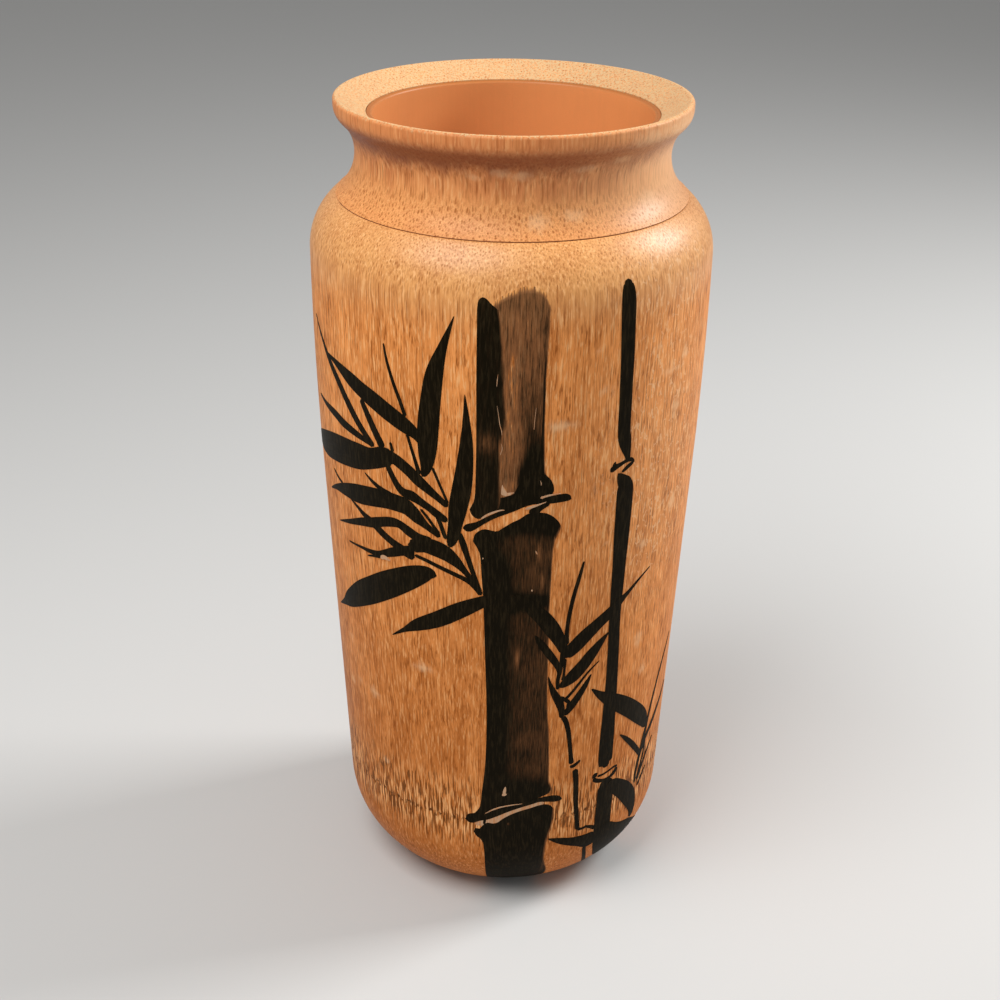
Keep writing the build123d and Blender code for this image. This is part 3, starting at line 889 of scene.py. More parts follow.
class InkFilms:
    """Thin closed films of ink on the culm's face, gathered into one mesh.

    Places on the face are degrees from the front and millimetres of height."""

    def __init__(self, sizes, dice):
        self.radius = culm_side(sizes)
        self.dice = dice
        self.places, self.faces, self.loads, self.brushes = [], [], [], []
        self.count = 0

    def film(self, degrees, heights, load, lift, across, along, layer):
        """Closed film over a grid of places, rows by columns."""
        turn = FRONT + np.radians(degrees)
        height = np.maximum(heights, LOWEST_INK) * MM
        face = self.radius(height) + culm_skin(turn, height)
        brush = np.stack([across, np.full_like(across, STROKE_APART * layer), along], -1).reshape(-1, 3)
        for level in (lift + layer * INK_STEP, -INK_SUNK):
            reach = face + level
            place = np.stack([reach * np.cos(turn), reach * np.sin(turn), height], -1)
            self.places.append(place.reshape(-1, 3))
            self.loads.append(np.broadcast_to(load, degrees.shape).ravel())
            self.brushes.append(brush)
        top = self.count + np.arange(degrees.size).reshape(degrees.shape)
        low = top + degrees.size
        quads = np.stack([top[:-1, :-1], top[:-1, 1:], top[1:, 1:], top[1:, :-1]], -1).reshape(-1, 4)
        edge = np.concatenate([top[0, :-1], top[:-1, -1], top[-1, :0:-1], top[:0:-1, 0]])
        drop = np.concatenate([low[0, :-1], low[:-1, -1], low[-1, :0:-1], low[:0:-1, 0]])
        walls = np.stack([np.roll(edge, -1), edge, drop, np.roll(drop, -1)], -1)
        self.faces.append(np.concatenate([quads, quads[:, ::-1] + degrees.size, walls]))
        self.count += 2 * degrees.size

    def stroke(self, points, layer, load, lift):
        """One pull of the brush through places with a width, round at both ends."""
        degrees, heights, widths = smooth(points, CURVE_STEP).T
        scale = self.radius(np.maximum(heights, LOWEST_INK) * MM) / MM * math.radians(1)
        ahead = np.stack([np.gradient(degrees) * scale, np.gradient(heights)], 1)
        ahead /= np.linalg.norm(ahead, axis=1)[:, None]
        gone = np.concatenate([[0.0], np.cumsum(np.hypot(np.diff(degrees) * scale[1:], np.diff(heights)))])
        for tip, off in ((widths[0] / 2, gone), (widths[-1] / 2, gone[-1] - gone)):
            cap = 2 * np.sqrt(np.maximum(off * (2 * tip - off), 0))
            widths = np.where(off < tip, np.minimum(widths, cap), widths)
        half = np.maximum(widths, FINEST_STROKE) / 2
        share = np.linspace(-1.0, 1.0, max(2, math.ceil(widths.max() / STROKE_COLUMN)) + 1)
        sides = []
        for _ in range(2):
            slow, quick = self.dice.uniform(0, 6.28), self.dice.uniform(0, 6.28)
            sides.append(half * (1 + 0.025 * np.sin(gone / 6.0 + slow)) + 0.02 * np.sin(gone / 2.3 + quick))
        reach = np.where(share < 0, sides[0][:, None], sides[1][:, None]) * share
        self.film(degrees[:, None] + reach * (ahead[:, 1] / scale)[:, None],
                  heights[:, None] - reach * ahead[:, 0][:, None],
                  load, lift, reach, np.broadcast_to(gone[:, None], reach.shape), layer)

    def panel(self, left, right, bottom, top, layer, load, lift, spots=(), fade=None):
        """Broad pull of the brush between four edges, with places where more or less ink stayed.

        Towards the edges named in fade, over so many degrees or millimetres, the ink thins to another
        load."""
        rows = math.ceil(max(abs(left[-1][1] - left[0][1]), 4) / PANEL_STEP) + 1
        columns = math.ceil(max(abs(bottom[-1][0] - bottom[0][0]), 2) / PANEL_STEP) + 1
        t = np.linspace(0, 1, rows)[:, None, None]
        s = np.linspace(0, 1, columns)[None, :, None]
        west, east = evenly(left, rows)[:, None], evenly(right, rows)[:, None]
        south, north = evenly(bottom, columns)[None], evenly(top, columns)[None]
        corners = ((1 - s) * (1 - t) * south[:, :1] + s * (1 - t) * south[:, -1:]
                   + (1 - s) * t * north[:, :1] + s * t * north[:, -1:])
        grid = (1 - t) * south + t * north + (1 - s) * west + s * east - corners
        degrees, heights = grid[..., 0], grid[..., 1]
        ink = np.full(degrees.shape, float(load))
        for spot_degrees, spot_height, half_width, half_height, more in spots:
            ink += more * np.exp(-((degrees - spot_degrees) / half_width) ** 2
                                 - ((heights - spot_height) / half_height) ** 2)
        ink = np.clip(ink, 0.0, 1.0)
        away = {"left": degrees - west[..., 0], "right": east[..., 0] - degrees,
                "bottom": heights - south[..., 1], "top": north[..., 1] - heights}
        for edge, (reach, thin) in (fade or {}).items():
            ink = thin + (ink - thin) * np.clip(away[edge] / reach, 0.0, 1.0)
        self.film(degrees, heights, ink, lift, degrees, heights, layer)

    def mesh(self, name):
        """The gathered films as a mesh that carries how much ink lies where, and the brush's way."""
        made = bpy.data.meshes.new(name)
        made.from_pydata(np.concatenate(self.places).tolist(), [], np.concatenate(self.faces).tolist())
        made.polygons.foreach_set("use_smooth", [True] * len(made.polygons))
        made.set_sharp_from_angle(angle=math.radians(40))
        paint(made, "load", np.concatenate(self.loads))
        paint(made, "brush", np.concatenate(self.brushes), "FLOAT_VECTOR", "vector")
        made.update()
        return made


# The painting. A stroke is a list of degrees from the front, height and width in millimetres.
# A panel's edges are lists of degrees and height; its spots are degrees, height, half sizes and added ink.
THICK_CULM_PANELS = (
    dict(load=0.62, lift=INK_WASH, fade={"top": (1.8, 0.0), "right": (0.25, 0.3)},
         left=((-3.4, 150.5), (-3.4, 170), (-3.4, 190), (-5.2, 211.3)),
         right=((12.2, 155.2), (12.5, 156.5), (11.8, 159.4), (10.2, 161.4), (9.8, 165), (9.5, 172),
                (9.4, 185), (9.6, 195), (9.9, 203), (10.1, 210)),
         bottom=((-3.4, 150.5), (2, 151.6), (8, 153.6), (12.2, 155.2)),
         top=((-5.2, 211.3), (-3, 213.4), (0, 215), (3, 216.2), (6, 216.2), (8.3, 215.1), (9.6, 212.6),
              (10.1, 210)),
         spots=((0.4, 188, 1.8, 11, -0.26), (0.8, 170, 2.2, 5, -0.16), (6.3, 176, 3.2, 12, 0.2),
                (7.4, 163, 3.4, 7, 0.5), (4, 159, 1.6, 4.5, 0.4), (-1.2, 156.3, 1.3, 1.8, -0.5),
                (1.3, 158.2, 0.5, 1.6, -0.3), (9.1, 180, 0.35, 24, 0.35), (1, 206, 3, 4, -0.08),
                (3.2, 190, 0.4, 12, 0.12))),
    dict(load=0.93, lift=INK_OVER, fade={"right": (0.9, 0.5)},
         left=((-10.8, 149.8), (-10.2, 151.2), (-9.5, 153), (-9.1, 158), (-8.9, 172), (-8.9, 190),
               (-8.8, 210)),
         right=((-1.8, 150), (-1.9, 158), (-2, 165), (-2.1, 170), (-1.4, 174), (-0.8, 177), (-0.9, 182),
                (-1.3, 188), (-1.6, 196), (-2.1, 204), (-3, 209.6)),
         bottom=((-10.8, 149.8), (-10.2, 148.2), (-8.9, 147.1), (-7.2, 147.3), (-4, 149.2), (-1.8, 150)),
         top=((-8.8, 210), (-8.5, 212.3), (-7.5, 213.3), (-6.3, 212.8), (-5.2, 211.6), (-4, 210.6),
              (-3, 209.6)),
         spots=((-5.8, 171, 3.2, 3, -0.16),)),
    dict(load=1.0, lift=INK_FULL,
         left=((-3, 149.8), (-2.4, 152), (-2.2, 154.2)),
         right=((12.2, 155.1), (12.6, 156.3), (12.3, 158), (11.4, 159.8), (10, 161.4)),
         bottom=((-3, 149.8), (0, 150.6), (4, 152), (8.5, 153.6), (12.2, 155.1)),
         top=((-2.2, 154.2), (0, 154.8), (1.5, 155.6), (2.2, 157.2), (3.4, 159.4), (6, 161.2),
              (10, 161.4))),
    dict(load=0.82, lift=INK_WASH, fade={"right": (0.3, 0.45)},
         left=((-10, 39.4), (-8, 42.5), (-7.4, 48), (-6.6, 55), (-6.1, 62), (-5.8, 75), (-5.9, 85),
               (-6.2, 95), (-6.6, 110), (-6.9, 120), (-7.4, 128), (-7.8, 134.5), (-8.5, 137),
               (-9.9, 139.5)),
         right=((15.3, 47.1), (16.4, 48.6), (16, 50.3), (15.3, 52.5), (15, 60), (14.5, 70), (13.6, 80),
                (13.2, 90), (13, 105), (12.8, 117), (12.9, 125), (13, 134), (13.4, 139.3), (14.6, 142.3),
                (15.1, 144)),
         bottom=((-10, 39.4), (-6, 39.8), (-2, 41.9), (4, 43.6), (10, 45.2), (15.3, 47.1)),
         top=((-9.9, 139.5), (-9.4, 141.7), (-8.2, 143), (-6.5, 143.8), (-3.2, 143.3), (-1.5, 144.4),
              (1, 146.2), (3.2, 147.4), (5, 148.8), (7, 149.6), (9, 149.3), (11, 148.8), (13, 147.4),
              (14.5, 145.6), (15.1, 144)),
         spots=((-5.5, 80, 5.2, 55, 0.42), (-5, 128, 5, 14, 0.2), (3, 147.5, 14, 4, 0.36),
                (13, 146, 3, 4, 0.3), (-2.5, 138, 2.4, 4, -0.12), (3, 119.5, 12, 2.6, 0.3),
                (4, 46, 13, 6, 0.36), (9, 136.5, 0.5, 3, -0.2), (10.3, 126, 0.5, 3.5, -0.2),
                (3.4, 99, 0.5, 3.5, -0.3))),
    dict(load=1.0, lift=INK_OVER, fade={"right": (0.6, 0.3)},
         left=((-6.8, 0.4), (-6.6, 8), (-6.5, 14), (-6.4, 20), (-6.7, 26.5), (-7.6, 29), (-9.2, 30.4),
               (-10.2, 32)),
         right=((17.4, 0.4), (18, 6), (17.5, 12), (16.2, 16), (15.3, 20), (15.2, 25), (15.7, 28),
                (16.5, 31), (17.3, 35), (17.6, 40.4)),
         bottom=((-6.8, 0.4), (5, 0.4), (17.4, 0.4)),
         top=((-10.2, 32), (-9.6, 33.6), (-8.2, 33.4), (-7.3, 34.6), (-5.5, 36.2), (-3.5, 36),
              (-2, 36.4), (0, 38.2), (3, 40), (6, 41.2), (9, 42), (12, 42.8), (14.5, 42.9), (16.4, 42),
              (17.6, 40.4)),
         spots=((15.4, 19, 1.4, 12, -0.2), (2, 36, 0.5, 0.5, -0.4))),
)
THICK_CULM_STROKES = (
    ((-12.8, 143.5, 1.4), (-11, 143.9, 2.6), (-8.5, 145.2, 1.8), (-6, 146.9, 1.5), (-3.5, 148.4, 1.4),
     (-1, 149.6, 1.5), (1.5, 150.7, 1.4), (4, 151.9, 1.4), (7, 152.8, 1.5), (10, 153.1, 2.3),
     (13, 153.3, 2.5), (16, 153.5, 2.5), (17.7, 152.8, 1.2)),
    ((6.8, 148.4, 3.4), (7.4, 149.8, 2.8), (9.2, 151.2, 2), (11.5, 152.4, 1.6)),
    ((-13.2, 36.8, 1), (-11.4, 37.2, 3.6), (-8.5, 38.2, 3.2), (-6, 38.5, 2.4), (-3, 40.1, 2.7),
     (0, 41.5, 2.4), (3, 42.5, 1.9), (6, 43.5, 1.8), (9, 44.3, 1.7), (12, 45, 1.6), (15, 45, 2.2),
     (18, 44.6, 2.5), (20.4, 43.9, 1)),
    ((-6.6, 35.4, 0.8), (-6.2, 37.6, 0.9)),
)
THIN_CULM_STROKES = (
    ((32, 216, 2.5), (32.1, 211, 4.6), (32.4, 200, 4.7), (32.8, 185, 4.4), (33, 172, 4.4),
     (33.5, 168.2, 4.4), (34.2, 165.3, 3.3), (34.8, 163, 2), (35.1, 161, 1.6)),
    ((29.3, 159.2, 1.5), (30.6, 160.3, 1.8), (32.5, 160.9, 1.3), (34.3, 161.5, 1.1), (36.2, 161.6, 1.3),
     (37.4, 160.4, 0.8)),
    ((30.9, 162.2, 0.7), (30.1, 160.6, 1.1)),
    ((37.2, 160.5, 0.9), (35.6, 159.8, 1.3), (34.2, 158.9, 1.1), (33.1, 158.2, 0.7)),
    ((31.9, 158.2, 1), (33.4, 156, 3.6), (34.7, 153.8, 5.4), (35, 150, 5.9), (35.1, 135, 5.5),
     (35.2, 120, 4.8), (35.3, 108, 4.2), (35.8, 98, 4.4), (36.3, 85, 4.8), (36.5, 72, 5.2),
     (36.6, 60, 5.8), (36.8, 53.6, 5.7), (37.8, 51.3, 3)),
    ((31.7, 48.6, 1.2), (32.8, 49.6, 1.8), (33.8, 50.2, 0.8)),
    ((32, 48.3, 1.4), (33.5, 47.2, 1.5), (35.2, 46.5, 1.4), (37, 46.2, 1), (39.5, 46.4, 1.2),
     (41.3, 47.4, 1.5), (42.6, 49, 1.2)),
    ((33.8, 48.8, 0.9), (36, 48.7, 0.8), (38.5, 49.1, 0.8), (41, 49.7, 0.9), (42.7, 49.5, 1)),
    ((38, 46.4, 5.6), (38, 43, 6.6), (38, 34, 6.8), (38.1, 26, 7), (38.3, 20, 6)),
)
LEFT_LEAVES = (
    ((-14.8, 207.5, 0.2), (-18, 198.3, 2.6), (-20.4, 190, 5.4), (-21.6, 182, 6.2), (-22.5, 174, 6.5),
     (-22.9, 166, 5.5), (-23.4, 161, 3.4), (-24.6, 158, 1.4)),
    ((-63, 184.8, 0.8), (-57, 183.6, 2.2), (-50, 181.2, 4.7), (-45, 179.4, 5.2), (-40, 177.6, 5.6),
     (-35, 175.4, 5.6), (-30, 173, 5), (-26.3, 170.8, 3.4), (-24.5, 168, 1.5)),
    ((-72.5, 193.5, 0.5), (-67, 188.3, 1.2), (-61, 182.5, 2.2), (-56, 177.8, 2.6), (-51, 172.5, 2.7),
     (-46, 167.3, 2.4), (-41, 163, 1.8)),
    ((-45.5, 176.5, 1.8), (-43, 172.5, 2.3), (-40.3, 168, 2.6), (-37.5, 163.5, 2.8)),
    ((-73, 168, 0.6), (-66, 167.3, 1.8), (-60, 166.8, 2.6), (-55, 165.7, 2.8), (-50, 164.9, 2.4),
     (-44, 163.8, 1.6), (-41.5, 162.8, 0.8)),
    ((-82, 150.5, 2.5), (-78, 151.3, 5.5), (-70, 153, 8), (-62, 155, 9.2), (-55, 156.5, 9.2),
     (-48, 157.7, 8.4), (-42, 159, 6.4), (-37, 161, 6), (-33, 161.4, 4)),
    ((-12, 185.2, 0.2), (-11.6, 178, 2), (-11.6, 170, 3.8), (-12.2, 162, 5), (-13.2, 155, 5.6),
     (-14.3, 149, 5.4), (-15, 144.5, 4.4), (-15.8, 140, 3.6), (-16.8, 136.5, 1.8)),
    ((-68.5, 138.6, 0.4), (-63, 141.2, 2), (-57, 143, 4.2), (-50, 144.5, 6.2), (-43, 146, 6.2),
     (-37, 147, 5.8), (-31, 147, 5.4), (-28.5, 145.8, 5), (-26.5, 144.2, 4.2), (-24.5, 142.7, 2.8),
     (-22, 141, 1.9), (-19.5, 139.5, 1.8)),
    ((-63, 129.8, 0.3), (-55, 133, 1.6), (-49, 135.4, 2.6), (-44, 137.1, 3.3), (-40, 138.8, 3.2),
     (-36, 140.1, 3.2), (-33, 140.3, 2.8), (-30, 139, 3.2), (-26.5, 137.6, 3), (-22, 137.4, 2.4)),
    ((-54, 141.3, 0.4), (-50.5, 140, 1.2), (-47.5, 138.6, 1.8), (-43.5, 137.2, 2.6), (-39.5, 135, 2.6),
     (-36, 133.4, 2.6), (-32, 131.8, 3.2), (-28, 130.5, 3)),
    ((-57, 125.4, 0.5), (-50, 126.3, 0.9), (-46, 126.6, 1.4), (-42, 127.3, 1.8), (-39, 128.5, 2.4),
     (-36, 129.9, 3), (-32, 131.6, 3.2), (-28, 132.6, 4)),
    ((-30, 133.2, 3), (-28, 134.4, 4.4), (-25, 135.4, 4.8), (-21.5, 135.3, 5.4), (-18, 134.2, 5),
     (-15, 132, 3.6), (-12.5, 129.3, 2), (-10, 126, 1.6), (-8, 122.5, 1.4)),
    ((-70.5, 96.5, 0.3), (-65, 99.8, 2.2), (-60, 103.4, 5.6), (-52, 109, 8.2), (-44, 114.2, 8.8),
     (-36, 119.5, 8.4), (-29, 123.8, 7.2), (-24, 126.2, 4.8), (-21, 126, 1.5)),
    ((-38, 100.2, 0.3), (-33, 103.8, 1.6), (-28, 107.2, 4), (-21, 111, 5.2), (-14, 115.4, 5.2),
     (-7, 119.3, 3.8), (-3, 121, 2.5)),
)
LEFT_TWIGS = (
    ((-37, 162.3, 3.4), (-33, 161.2, 3.8), (-29, 159, 3.8), (-26, 156.6, 3.8), (-23, 154.4, 3),
     (-20, 152.2, 2.2), (-17, 149.8, 1.8)),
    ((-36.2, 158.6, 2), (-34.6, 155.6, 2.1), (-32.6, 152.6, 2.4), (-30.5, 151.2, 3), (-28, 150.9, 3.4),
     (-25.5, 149.8, 2.7), (-22.8, 148.4, 2.4), (-20, 146.6, 2.6), (-17.2, 145, 1.8)),
    ((-25.5, 147.4, 0.9), (-23.2, 144.9, 1), (-21.3, 142.3, 1), (-19.8, 140.3, 1.2)),
    ((-20.8, 147, 1.2), (-19.4, 143.8, 1.3), (-18.5, 141, 1.3), (-17.8, 139, 1.2)),
    ((-21.4, 161.6, 0.9), (-20.2, 158.6, 0.8), (-18.4, 154.2, 0.8), (-17, 150.8, 0.9)),
    ((-36, 196, 0.6), (-35, 191, 0.9), (-33, 185, 1.1), (-31, 180, 1.2), (-29.4, 175.6, 1.3)),
    ((-29, 170.5, 1), (-28, 167, 1), (-26.8, 163, 1.1), (-25.4, 158.4, 1.5)),
    ((-34.8, 166.4, 0.8), (-34, 163.4, 1.3)),
    ((-45.6, 153.1, 0.3), (-42.5, 151.3, 1.2), (-39, 150, 1.6), (-35, 149.3, 1.6)),
    ((-64, 147, 0.6), (-61, 145.4, 0.9), (-58, 144.5, 1)),
    ((-47, 124.7, 0.4), (-44, 125.7, 0.8), (-41, 126.4, 0.9)),
    ((-28, 131.4, 1), (-24, 130.5, 1.2), (-20, 129.2, 1.3), (-15, 127.5, 1.4), (-11.5, 126, 1.6),
     (-9, 123.8, 1.8), (-7.5, 121.5, 1.6)),
    ((-13.8, 142, 1.2), (-12.8, 138.5, 2), (-11.8, 135, 1.7), (-10.3, 130, 1.5), (-8.9, 126, 1.3),
     (-7.7, 122.5, 1.2)),
)
RIGHT_SPRIG = (
    ((2, 121.8, 2), (6, 118.8, 3.6), (8.5, 116.2, 4.4), (10.6, 113.9, 4.8), (12.5, 111.3, 5),
     (14, 109, 4.9), (15.5, 106.5, 4.4), (17, 103.5, 3.6), (18.2, 100, 2.4)),
    ((8.6, 107.6, 0.5), (10.3, 105, 2), (12.3, 102, 2.4), (14.3, 99, 2.4), (15.9, 96.3, 2),
     (16.8, 93.5, 1.4), (16.5, 90, 1.2), (16.7, 87, 1.2)),
    ((22.8, 131.4, 0.6), (21.8, 127, 1.1), (20.3, 120.5, 1.3), (19.2, 114, 1.3), (18.6, 108, 1.3),
     (18.8, 103, 1.6)),
    ((49, 121.5, 0.3), (44, 118.8, 0.9), (40, 116, 1.4), (36.5, 113.6, 2.8), (33, 110.8, 4),
     (29, 108, 4.3), (25, 104.9, 4.9), (22, 102.1, 4.9), (19.6, 100, 4.2), (18, 98.5, 2.2)),
    ((33.4, 103.9, 0.4), (30.5, 101, 2.6), (27.5, 97.6, 4), (24.5, 94, 4.4), (21.5, 91, 4.4),
     (19, 89, 3), (17, 87.8, 1.2)),
    ((30.6, 94.4, 0.3), (27, 91.4, 0.7), (24, 88, 0.9), (21.5, 85, 0.9), (19.3, 82.8, 1)),
    ((28, 90.2, 0.4), (26.2, 86.8, 1.8), (24, 83.3, 2.4), (21.5, 79.8, 2.6), (19.3, 76.8, 1.6)),
    ((13.4, 92.2, 0.3), (14.2, 89, 1.2), (15.6, 85.6, 2.2), (17.2, 82.5, 2.8), (18.3, 79, 2.2),
     (18.4, 76, 1.4)),
    ((17.5, 84, 1.2), (19.2, 82.8, 1.3), (20.6, 81.5, 1.2), (20.2, 79.5, 1)),
    ((18, 101, 2.2), (17.6, 98, 1.6), (17.3, 95, 1.2), (16.9, 92, 1.2)),
    ((18.6, 98, 1), (18.5, 95, 0.8), (18.4, 92, 0.9), (18.2, 90, 1.4)),
    ((18.9, 76.5, 1.8), (20.2, 73.8, 1.6), (21.3, 69.5, 1.5), (22.1, 64, 1.4), (22.6, 60, 1.5),
     (23, 57.2, 1.8)),
    ((22.4, 56.2, 1), (24, 56.3, 1.2), (26.3, 57.9, 0.8)),
    ((24.6, 54.8, 2), (25.1, 50, 1.8), (25.5, 44, 1.7), (26.1, 37, 1.6), (26.8, 32, 1.6),
     (27.1, 29.4, 1.6)),
    ((27, 29.5, 1.3), (29, 29.3, 0.9), (31.2, 29.7, 1)),
    ((30.6, 29.5, 0.9), (32.6, 28.7, 1.3), (34.6, 27.5, 1.6)),
)
GROUND_PANELS = (
    dict(load=1.0, lift=INK_OVER, fade={"right": (4.0, 0.3)},
         left=((56, 2), (50, 4), (45, 6.5), (41, 9.5), (38, 13), (36, 17), (34.9, 20.5), (34.8, 26)),
         right=((71, 2.5), (70, 5), (68, 10), (66, 15)),
         bottom=((56, 2), (64, 2), (71, 2.5)),
         top=((34.8, 26), (38, 26.8), (41.5, 27), (45, 25), (49, 23.3), (54, 21.8), (59, 19), (66, 15))),
)
GROUND_LEAVES = (
    ((28.6, 84.4, 0.5), (32, 81.2, 2.5), (37, 77.4, 5), (42, 73.8, 6), (47, 69.8, 6.4), (52, 65.3, 6.2),
     (55.5, 61.5, 5), (57.8, 57.5, 2)),
    ((42.5, 61.8, 0.4), (46, 58.6, 1.6), (50, 54.4, 2.1), (54, 49.8, 1.9), (56.2, 46.5, 1)),
    ((73, 86, 0.5), (69, 81, 0.9), (65, 75, 1.1), (62, 68.5, 1.2), (59.6, 61.5, 1.3), (58.3, 56, 1.5)),
    ((76, 65.4, 0.4), (72, 63, 1.4), (67, 59.3, 1.8), (62.5, 55.5, 2), (59, 52.5, 1.7), (57, 48.5, 1.2)),
    ((58.5, 57, 1.7), (57, 52, 1.7), (55.6, 46.5, 1.6), (54.3, 41, 1.3), (54.2, 36.5, 1)),
    ((58.8, 52, 1), (58.6, 47, 0.9), (57.2, 42, 0.9), (55.3, 37.5, 0.8)),
    ((65.5, 49.5, 0.5), (61.5, 45.5, 1.1), (58.2, 41, 1.2), (55.8, 36.8, 1)),
    ((62, 39.5, 0.4), (59.3, 37, 1), (56.6, 34, 1)),
    ((39, 44, 4), (43, 41, 5.5), (48, 36.6, 6.6), (52, 31.5, 6.4), (54.2, 26.5, 4), (54.6, 22, 1.6)),
    ((16, 28.4, 0.4), (20, 26.8, 2.2), (24, 25.3, 3.2), (28, 24.2, 4.4), (32, 23.2, 6.2),
     (36, 23.2, 6.2)),
    ((31, 20.5, 1.3), (32.2, 16.5, 1.4), (34.2, 12, 1.4), (37, 8.2, 1.4), (41, 5.2, 1.3), (46, 3, 1.1),
     (52, 1.6, 0.8)),
)
BARE_STRIPS = (
    ((-9.8, 35.2, 1.2), (-8.2, 35.8, 2.2), (-6, 36.6, 2.6), (-3, 38, 3.4), (1.5, 39.8, 3.4),
     (6, 41.6, 2.8), (10, 42.9, 2.2), (14, 43.7, 1.4)),
)
SCRAPED_LINES = (
    ((-7.7, 147, 0.4), (-6, 148.4, 0.55), (-4, 149.5, 0.5), (-2.2, 150.2, 0.35), (-1, 150.3, 0.2)),
    ((8.8, 154, 0.8), (10, 154.4, 0.6), (12, 154.8, 0.5), (14.6, 155, 0.2)),
    ((4.6, 150.6, 0.6), (6.4, 151.2, 0.7), (8.4, 151.9, 0.5), (10.6, 152.7, 0.15)),
    ((-1.7, 158.4, 0.1), (-1.6, 157.2, 0.7), (-1.3, 156, 1.5), (-1, 155, 1.7)),
    ((-1.4, 155.2, 1), (0.2, 155.5, 0.8), (1.5, 156, 0.2)),
    ((-3.5, 188.2, 0.1), (-3.4, 190, 0.2), (-3.2, 191.8, 0.08)),
    ((-3.4, 182.5, 0.06), (-3, 180, 0.1), (-2.6, 177, 0.14), (-2.1, 175, 0.18), (-2, 173.6, 0.1)),
    ((-2.2, 171.2, 0.12), (-1.9, 169.6, 0.2), (-2.4, 167.6, 0.16)),
    ((6.9, 182, 0.06), (6.6, 178, 0.1), (6.5, 175.4, 0.16)),
    ((8.7, 159.6, 0.1), (8.9, 158.7, 0.2), (8.9, 158, 0.1)),
    ((-6.2, 39.9, 0.15), (-4, 41.4, 0.35), (-2, 42.4, 0.4), (0, 43.1, 0.38), (3, 43.7, 0.3),
     (6.5, 44.1, 0.1)),
    ((-0.5, 47.5, 0.5), (0.2, 48, 1.2), (1.1, 48.1, 0.5)),
    ((0.1, 48.2, 1), (0.4, 49.6, 0.9), (0.6, 51, 0.3)),
    ((7.3, 123.1, 0.5), (7.3, 123.8, 0.5)),
    ((8, 136.8, 0.3), (8.5, 135.6, 0.5)),
    ((-7, 133.8, 0.4), (-7, 134.4, 0.4)),
    ((-41, 126.2, 1.2), (-39.4, 127, 1.4), (-37, 126.6, 0.6)),
)
PAINTING = (
    ("ink_bare_strips", (), BARE_STRIPS, SCRAPED_LOAD, INK_WASH),
    ("ink_thick_culm", THICK_CULM_PANELS, THICK_CULM_STROKES, 1.0, INK_FULL),
    ("ink_thin_culm", (), THIN_CULM_STROKES, 1.0, INK_FULL),
    ("ink_left_leaves", (), LEFT_LEAVES, 1.0, INK_FULL),
    ("ink_left_twigs", (), LEFT_TWIGS, 1.0, INK_FULL),
    ("ink_right_sprig", (), RIGHT_SPRIG, 1.0, INK_FULL),
    ("ink_ground_leaves", GROUND_PANELS, GROUND_LEAVES, 1.0, INK_FULL),
    ("ink_scraped_lines", (), SCRAPED_LINES, SCRAPED_LOAD, INK_SCRAPED),
)


class VASE_OT_painting(bpy.types.Operator):
    """Bamboo brushed on the front of the culm in black ink"""
    bl_idname = "vase.painting"
    bl_label = "Ink painting"

    def execute(self, context):
        finish = ink_finish(context.scene.vase_colours)
        dice = random.Random(RANDOM_SEED + 1)
        layer = 0
        for name, panels, strokes, load, lift in PAINTING:
            films = InkFilms(context.scene.vase_sizes, dice)
            for panel in panels:
                films.panel(layer=layer, **panel)
                layer += 1
            for points in strokes:
                films.stroke(points, layer, load, lift)
                layer += 1
            show(name, films.mesh(name), finish, "vase")
        return {"FINISHED"}


class VaseStage(bpy.types.PropertyGroup):
    """Camera and lights."""
    lens: bpy.props.FloatProperty(name="Lens", description="Focal length in millimetres", default=56.56)
    eye: bpy.props.FloatVectorProperty(name="Eye", description="Where the camera stands",
                                       default=(-2.36 * MM, -452.6 * MM, 350.3 * MM), unit="LENGTH",
                                       subtype="TRANSLATION")
    dip: angle("Dip", "How far the camera looks down", 26.53)
    roll: angle("Roll", "How far the camera leans", 0.78)
    ambient: bpy.props.FloatProperty(name="Ambient", description="Even light from all round", default=0.31)
    window_power: bpy.props.FloatProperty(name="Window", description="Soft light from the right",
                                          default=8.0, subtype="POWER")
    overhead_power: bpy.props.FloatProperty(name="Overhead", description="Soft light from above",
                                            default=5.4, subtype="POWER")


def soft_light(name, place, size, power):
    """Rectangular lamp that faces the middle of the vase."""
    lamp = bpy.data.lights.new(name, "AREA")
    lamp.shape = "RECTANGLE"
    lamp.size, lamp.size_y = size
    lamp.energy = power
    light = bpy.data.objects.new(name, lamp)
    light.location = place
    light.rotation_euler = (Vector(LIT_POINT) - Vector(place)).to_track_quat("-Z", "Y").to_euler()
    bpy.context.scene.collection.objects.link(light)


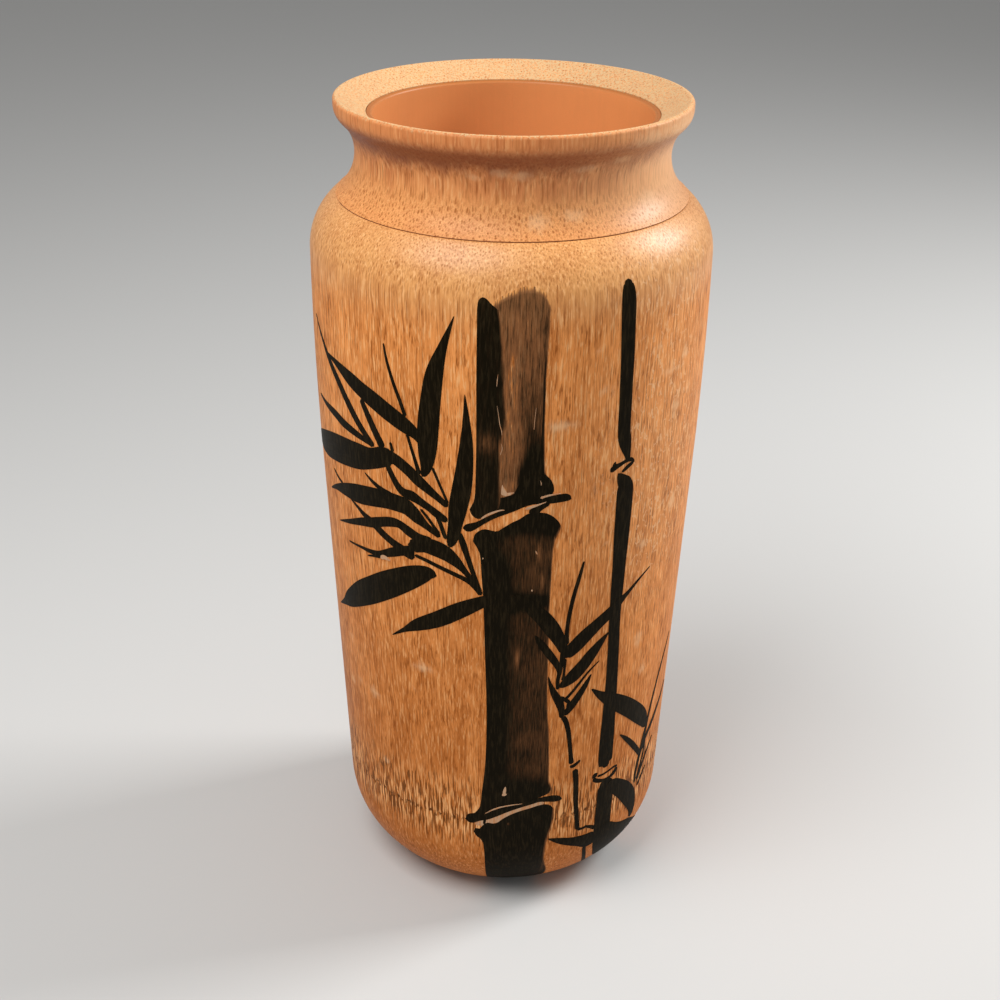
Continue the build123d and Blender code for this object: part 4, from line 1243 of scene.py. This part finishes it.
class VASE_OT_stage(bpy.types.Operator):
    """Pale floor, soft studio light and the camera"""
    bl_idname = "vase.stage"
    bl_label = "Stage"

    def execute(self, context):
        scene = context.scene
        stage = scene.vase_stage
        scene.view_settings.view_transform = "Standard"

        mesh = bpy.data.meshes.new("floor")
        corners = ((-1, -1), (1, -1), (1, 1), (-1, 1))
        mesh.from_pydata([(x * FLOOR_HALF, y * FLOOR_HALF, -FLOOR_DROP) for x, y in corners], [],
                         [(0, 1, 2, 3)])
        paper = Finish(bpy.data.materials.new("floor_paper"))
        paper.surface(Base_Color=scene.vase_colours.floor, Roughness=0.9)
        mesh.materials.append(paper.owner)
        floor = bpy.data.objects.new("floor", mesh)
        scene.collection.objects.link(floor)

        scene.world = bpy.data.worlds.new("studio")
        room = Finish(scene.world)
        room.surface(Color=(1.0, 1.0, 1.0), Strength=stage.ambient)

        soft_light("window_light", WINDOW_PLACE, WINDOW_SIZE, stage.window_power)
        soft_light("overhead_light", OVERHEAD_PLACE, OVERHEAD_SIZE, stage.overhead_power)

        camera = bpy.data.objects.new("camera", bpy.data.cameras.new("camera"))
        camera.data.lens = stage.lens
        camera.data.sensor_width = SENSOR_WIDTH
        tilt = Matrix.Rotation(math.pi / 2 - stage.dip, 4, "X") @ Matrix.Rotation(stage.roll, 4, "Z")
        camera.matrix_world = Matrix.Translation(stage.eye) @ tilt
        scene.collection.objects.link(camera)
        scene.camera = camera
        return {"FINISHED"}


GROUPS = {"vase_sizes": VaseSizes, "vase_colours": VaseColours, "vase_stage": VaseStage}
OPERATORS = (VASE_OT_culm, VASE_OT_neck, VASE_OT_glue, VASE_OT_liner, VASE_OT_painting, VASE_OT_stage)


class VASE_PT_sidebar(bpy.types.Panel):
    """Pieces of the vase, with their sizes and colours"""
    bl_idname = "VASE_PT_sidebar"
    bl_label = "Bamboo vase"
    bl_space_type = "VIEW_3D"
    bl_region_type = "UI"
    bl_category = "Vase"

    def draw(self, context):
        for operator in OPERATORS:
            self.layout.operator(operator.bl_idname)
        for key, group in GROUPS.items():
            box = self.layout.box()
            for name in group.__annotations__:
                box.prop(getattr(context.scene, key), name)


def register():
    """Registers the groups, the operators and the panel."""
    for group in GROUPS.values():
        bpy.utils.register_class(group)
    for key, group in GROUPS.items():
        setattr(bpy.types.Scene, key, bpy.props.PointerProperty(type=group))
    for kind in (*OPERATORS, VASE_PT_sidebar):
        bpy.utils.register_class(kind)


def unregister():
    """Takes them all away again."""
    for kind in (VASE_PT_sidebar, *OPERATORS):
        bpy.utils.unregister_class(kind)
    for key, group in GROUPS.items():
        delattr(bpy.types.Scene, key)
        bpy.utils.unregister_class(group)


def main():
    """Makes every piece and the stage."""
    register()
    bpy.ops.vase.culm()
    bpy.ops.vase.neck()
    bpy.ops.vase.glue()
    bpy.ops.vase.liner()
    bpy.ops.vase.painting()
    bpy.ops.vase.stage()


if __name__ == "__main__":
    main()
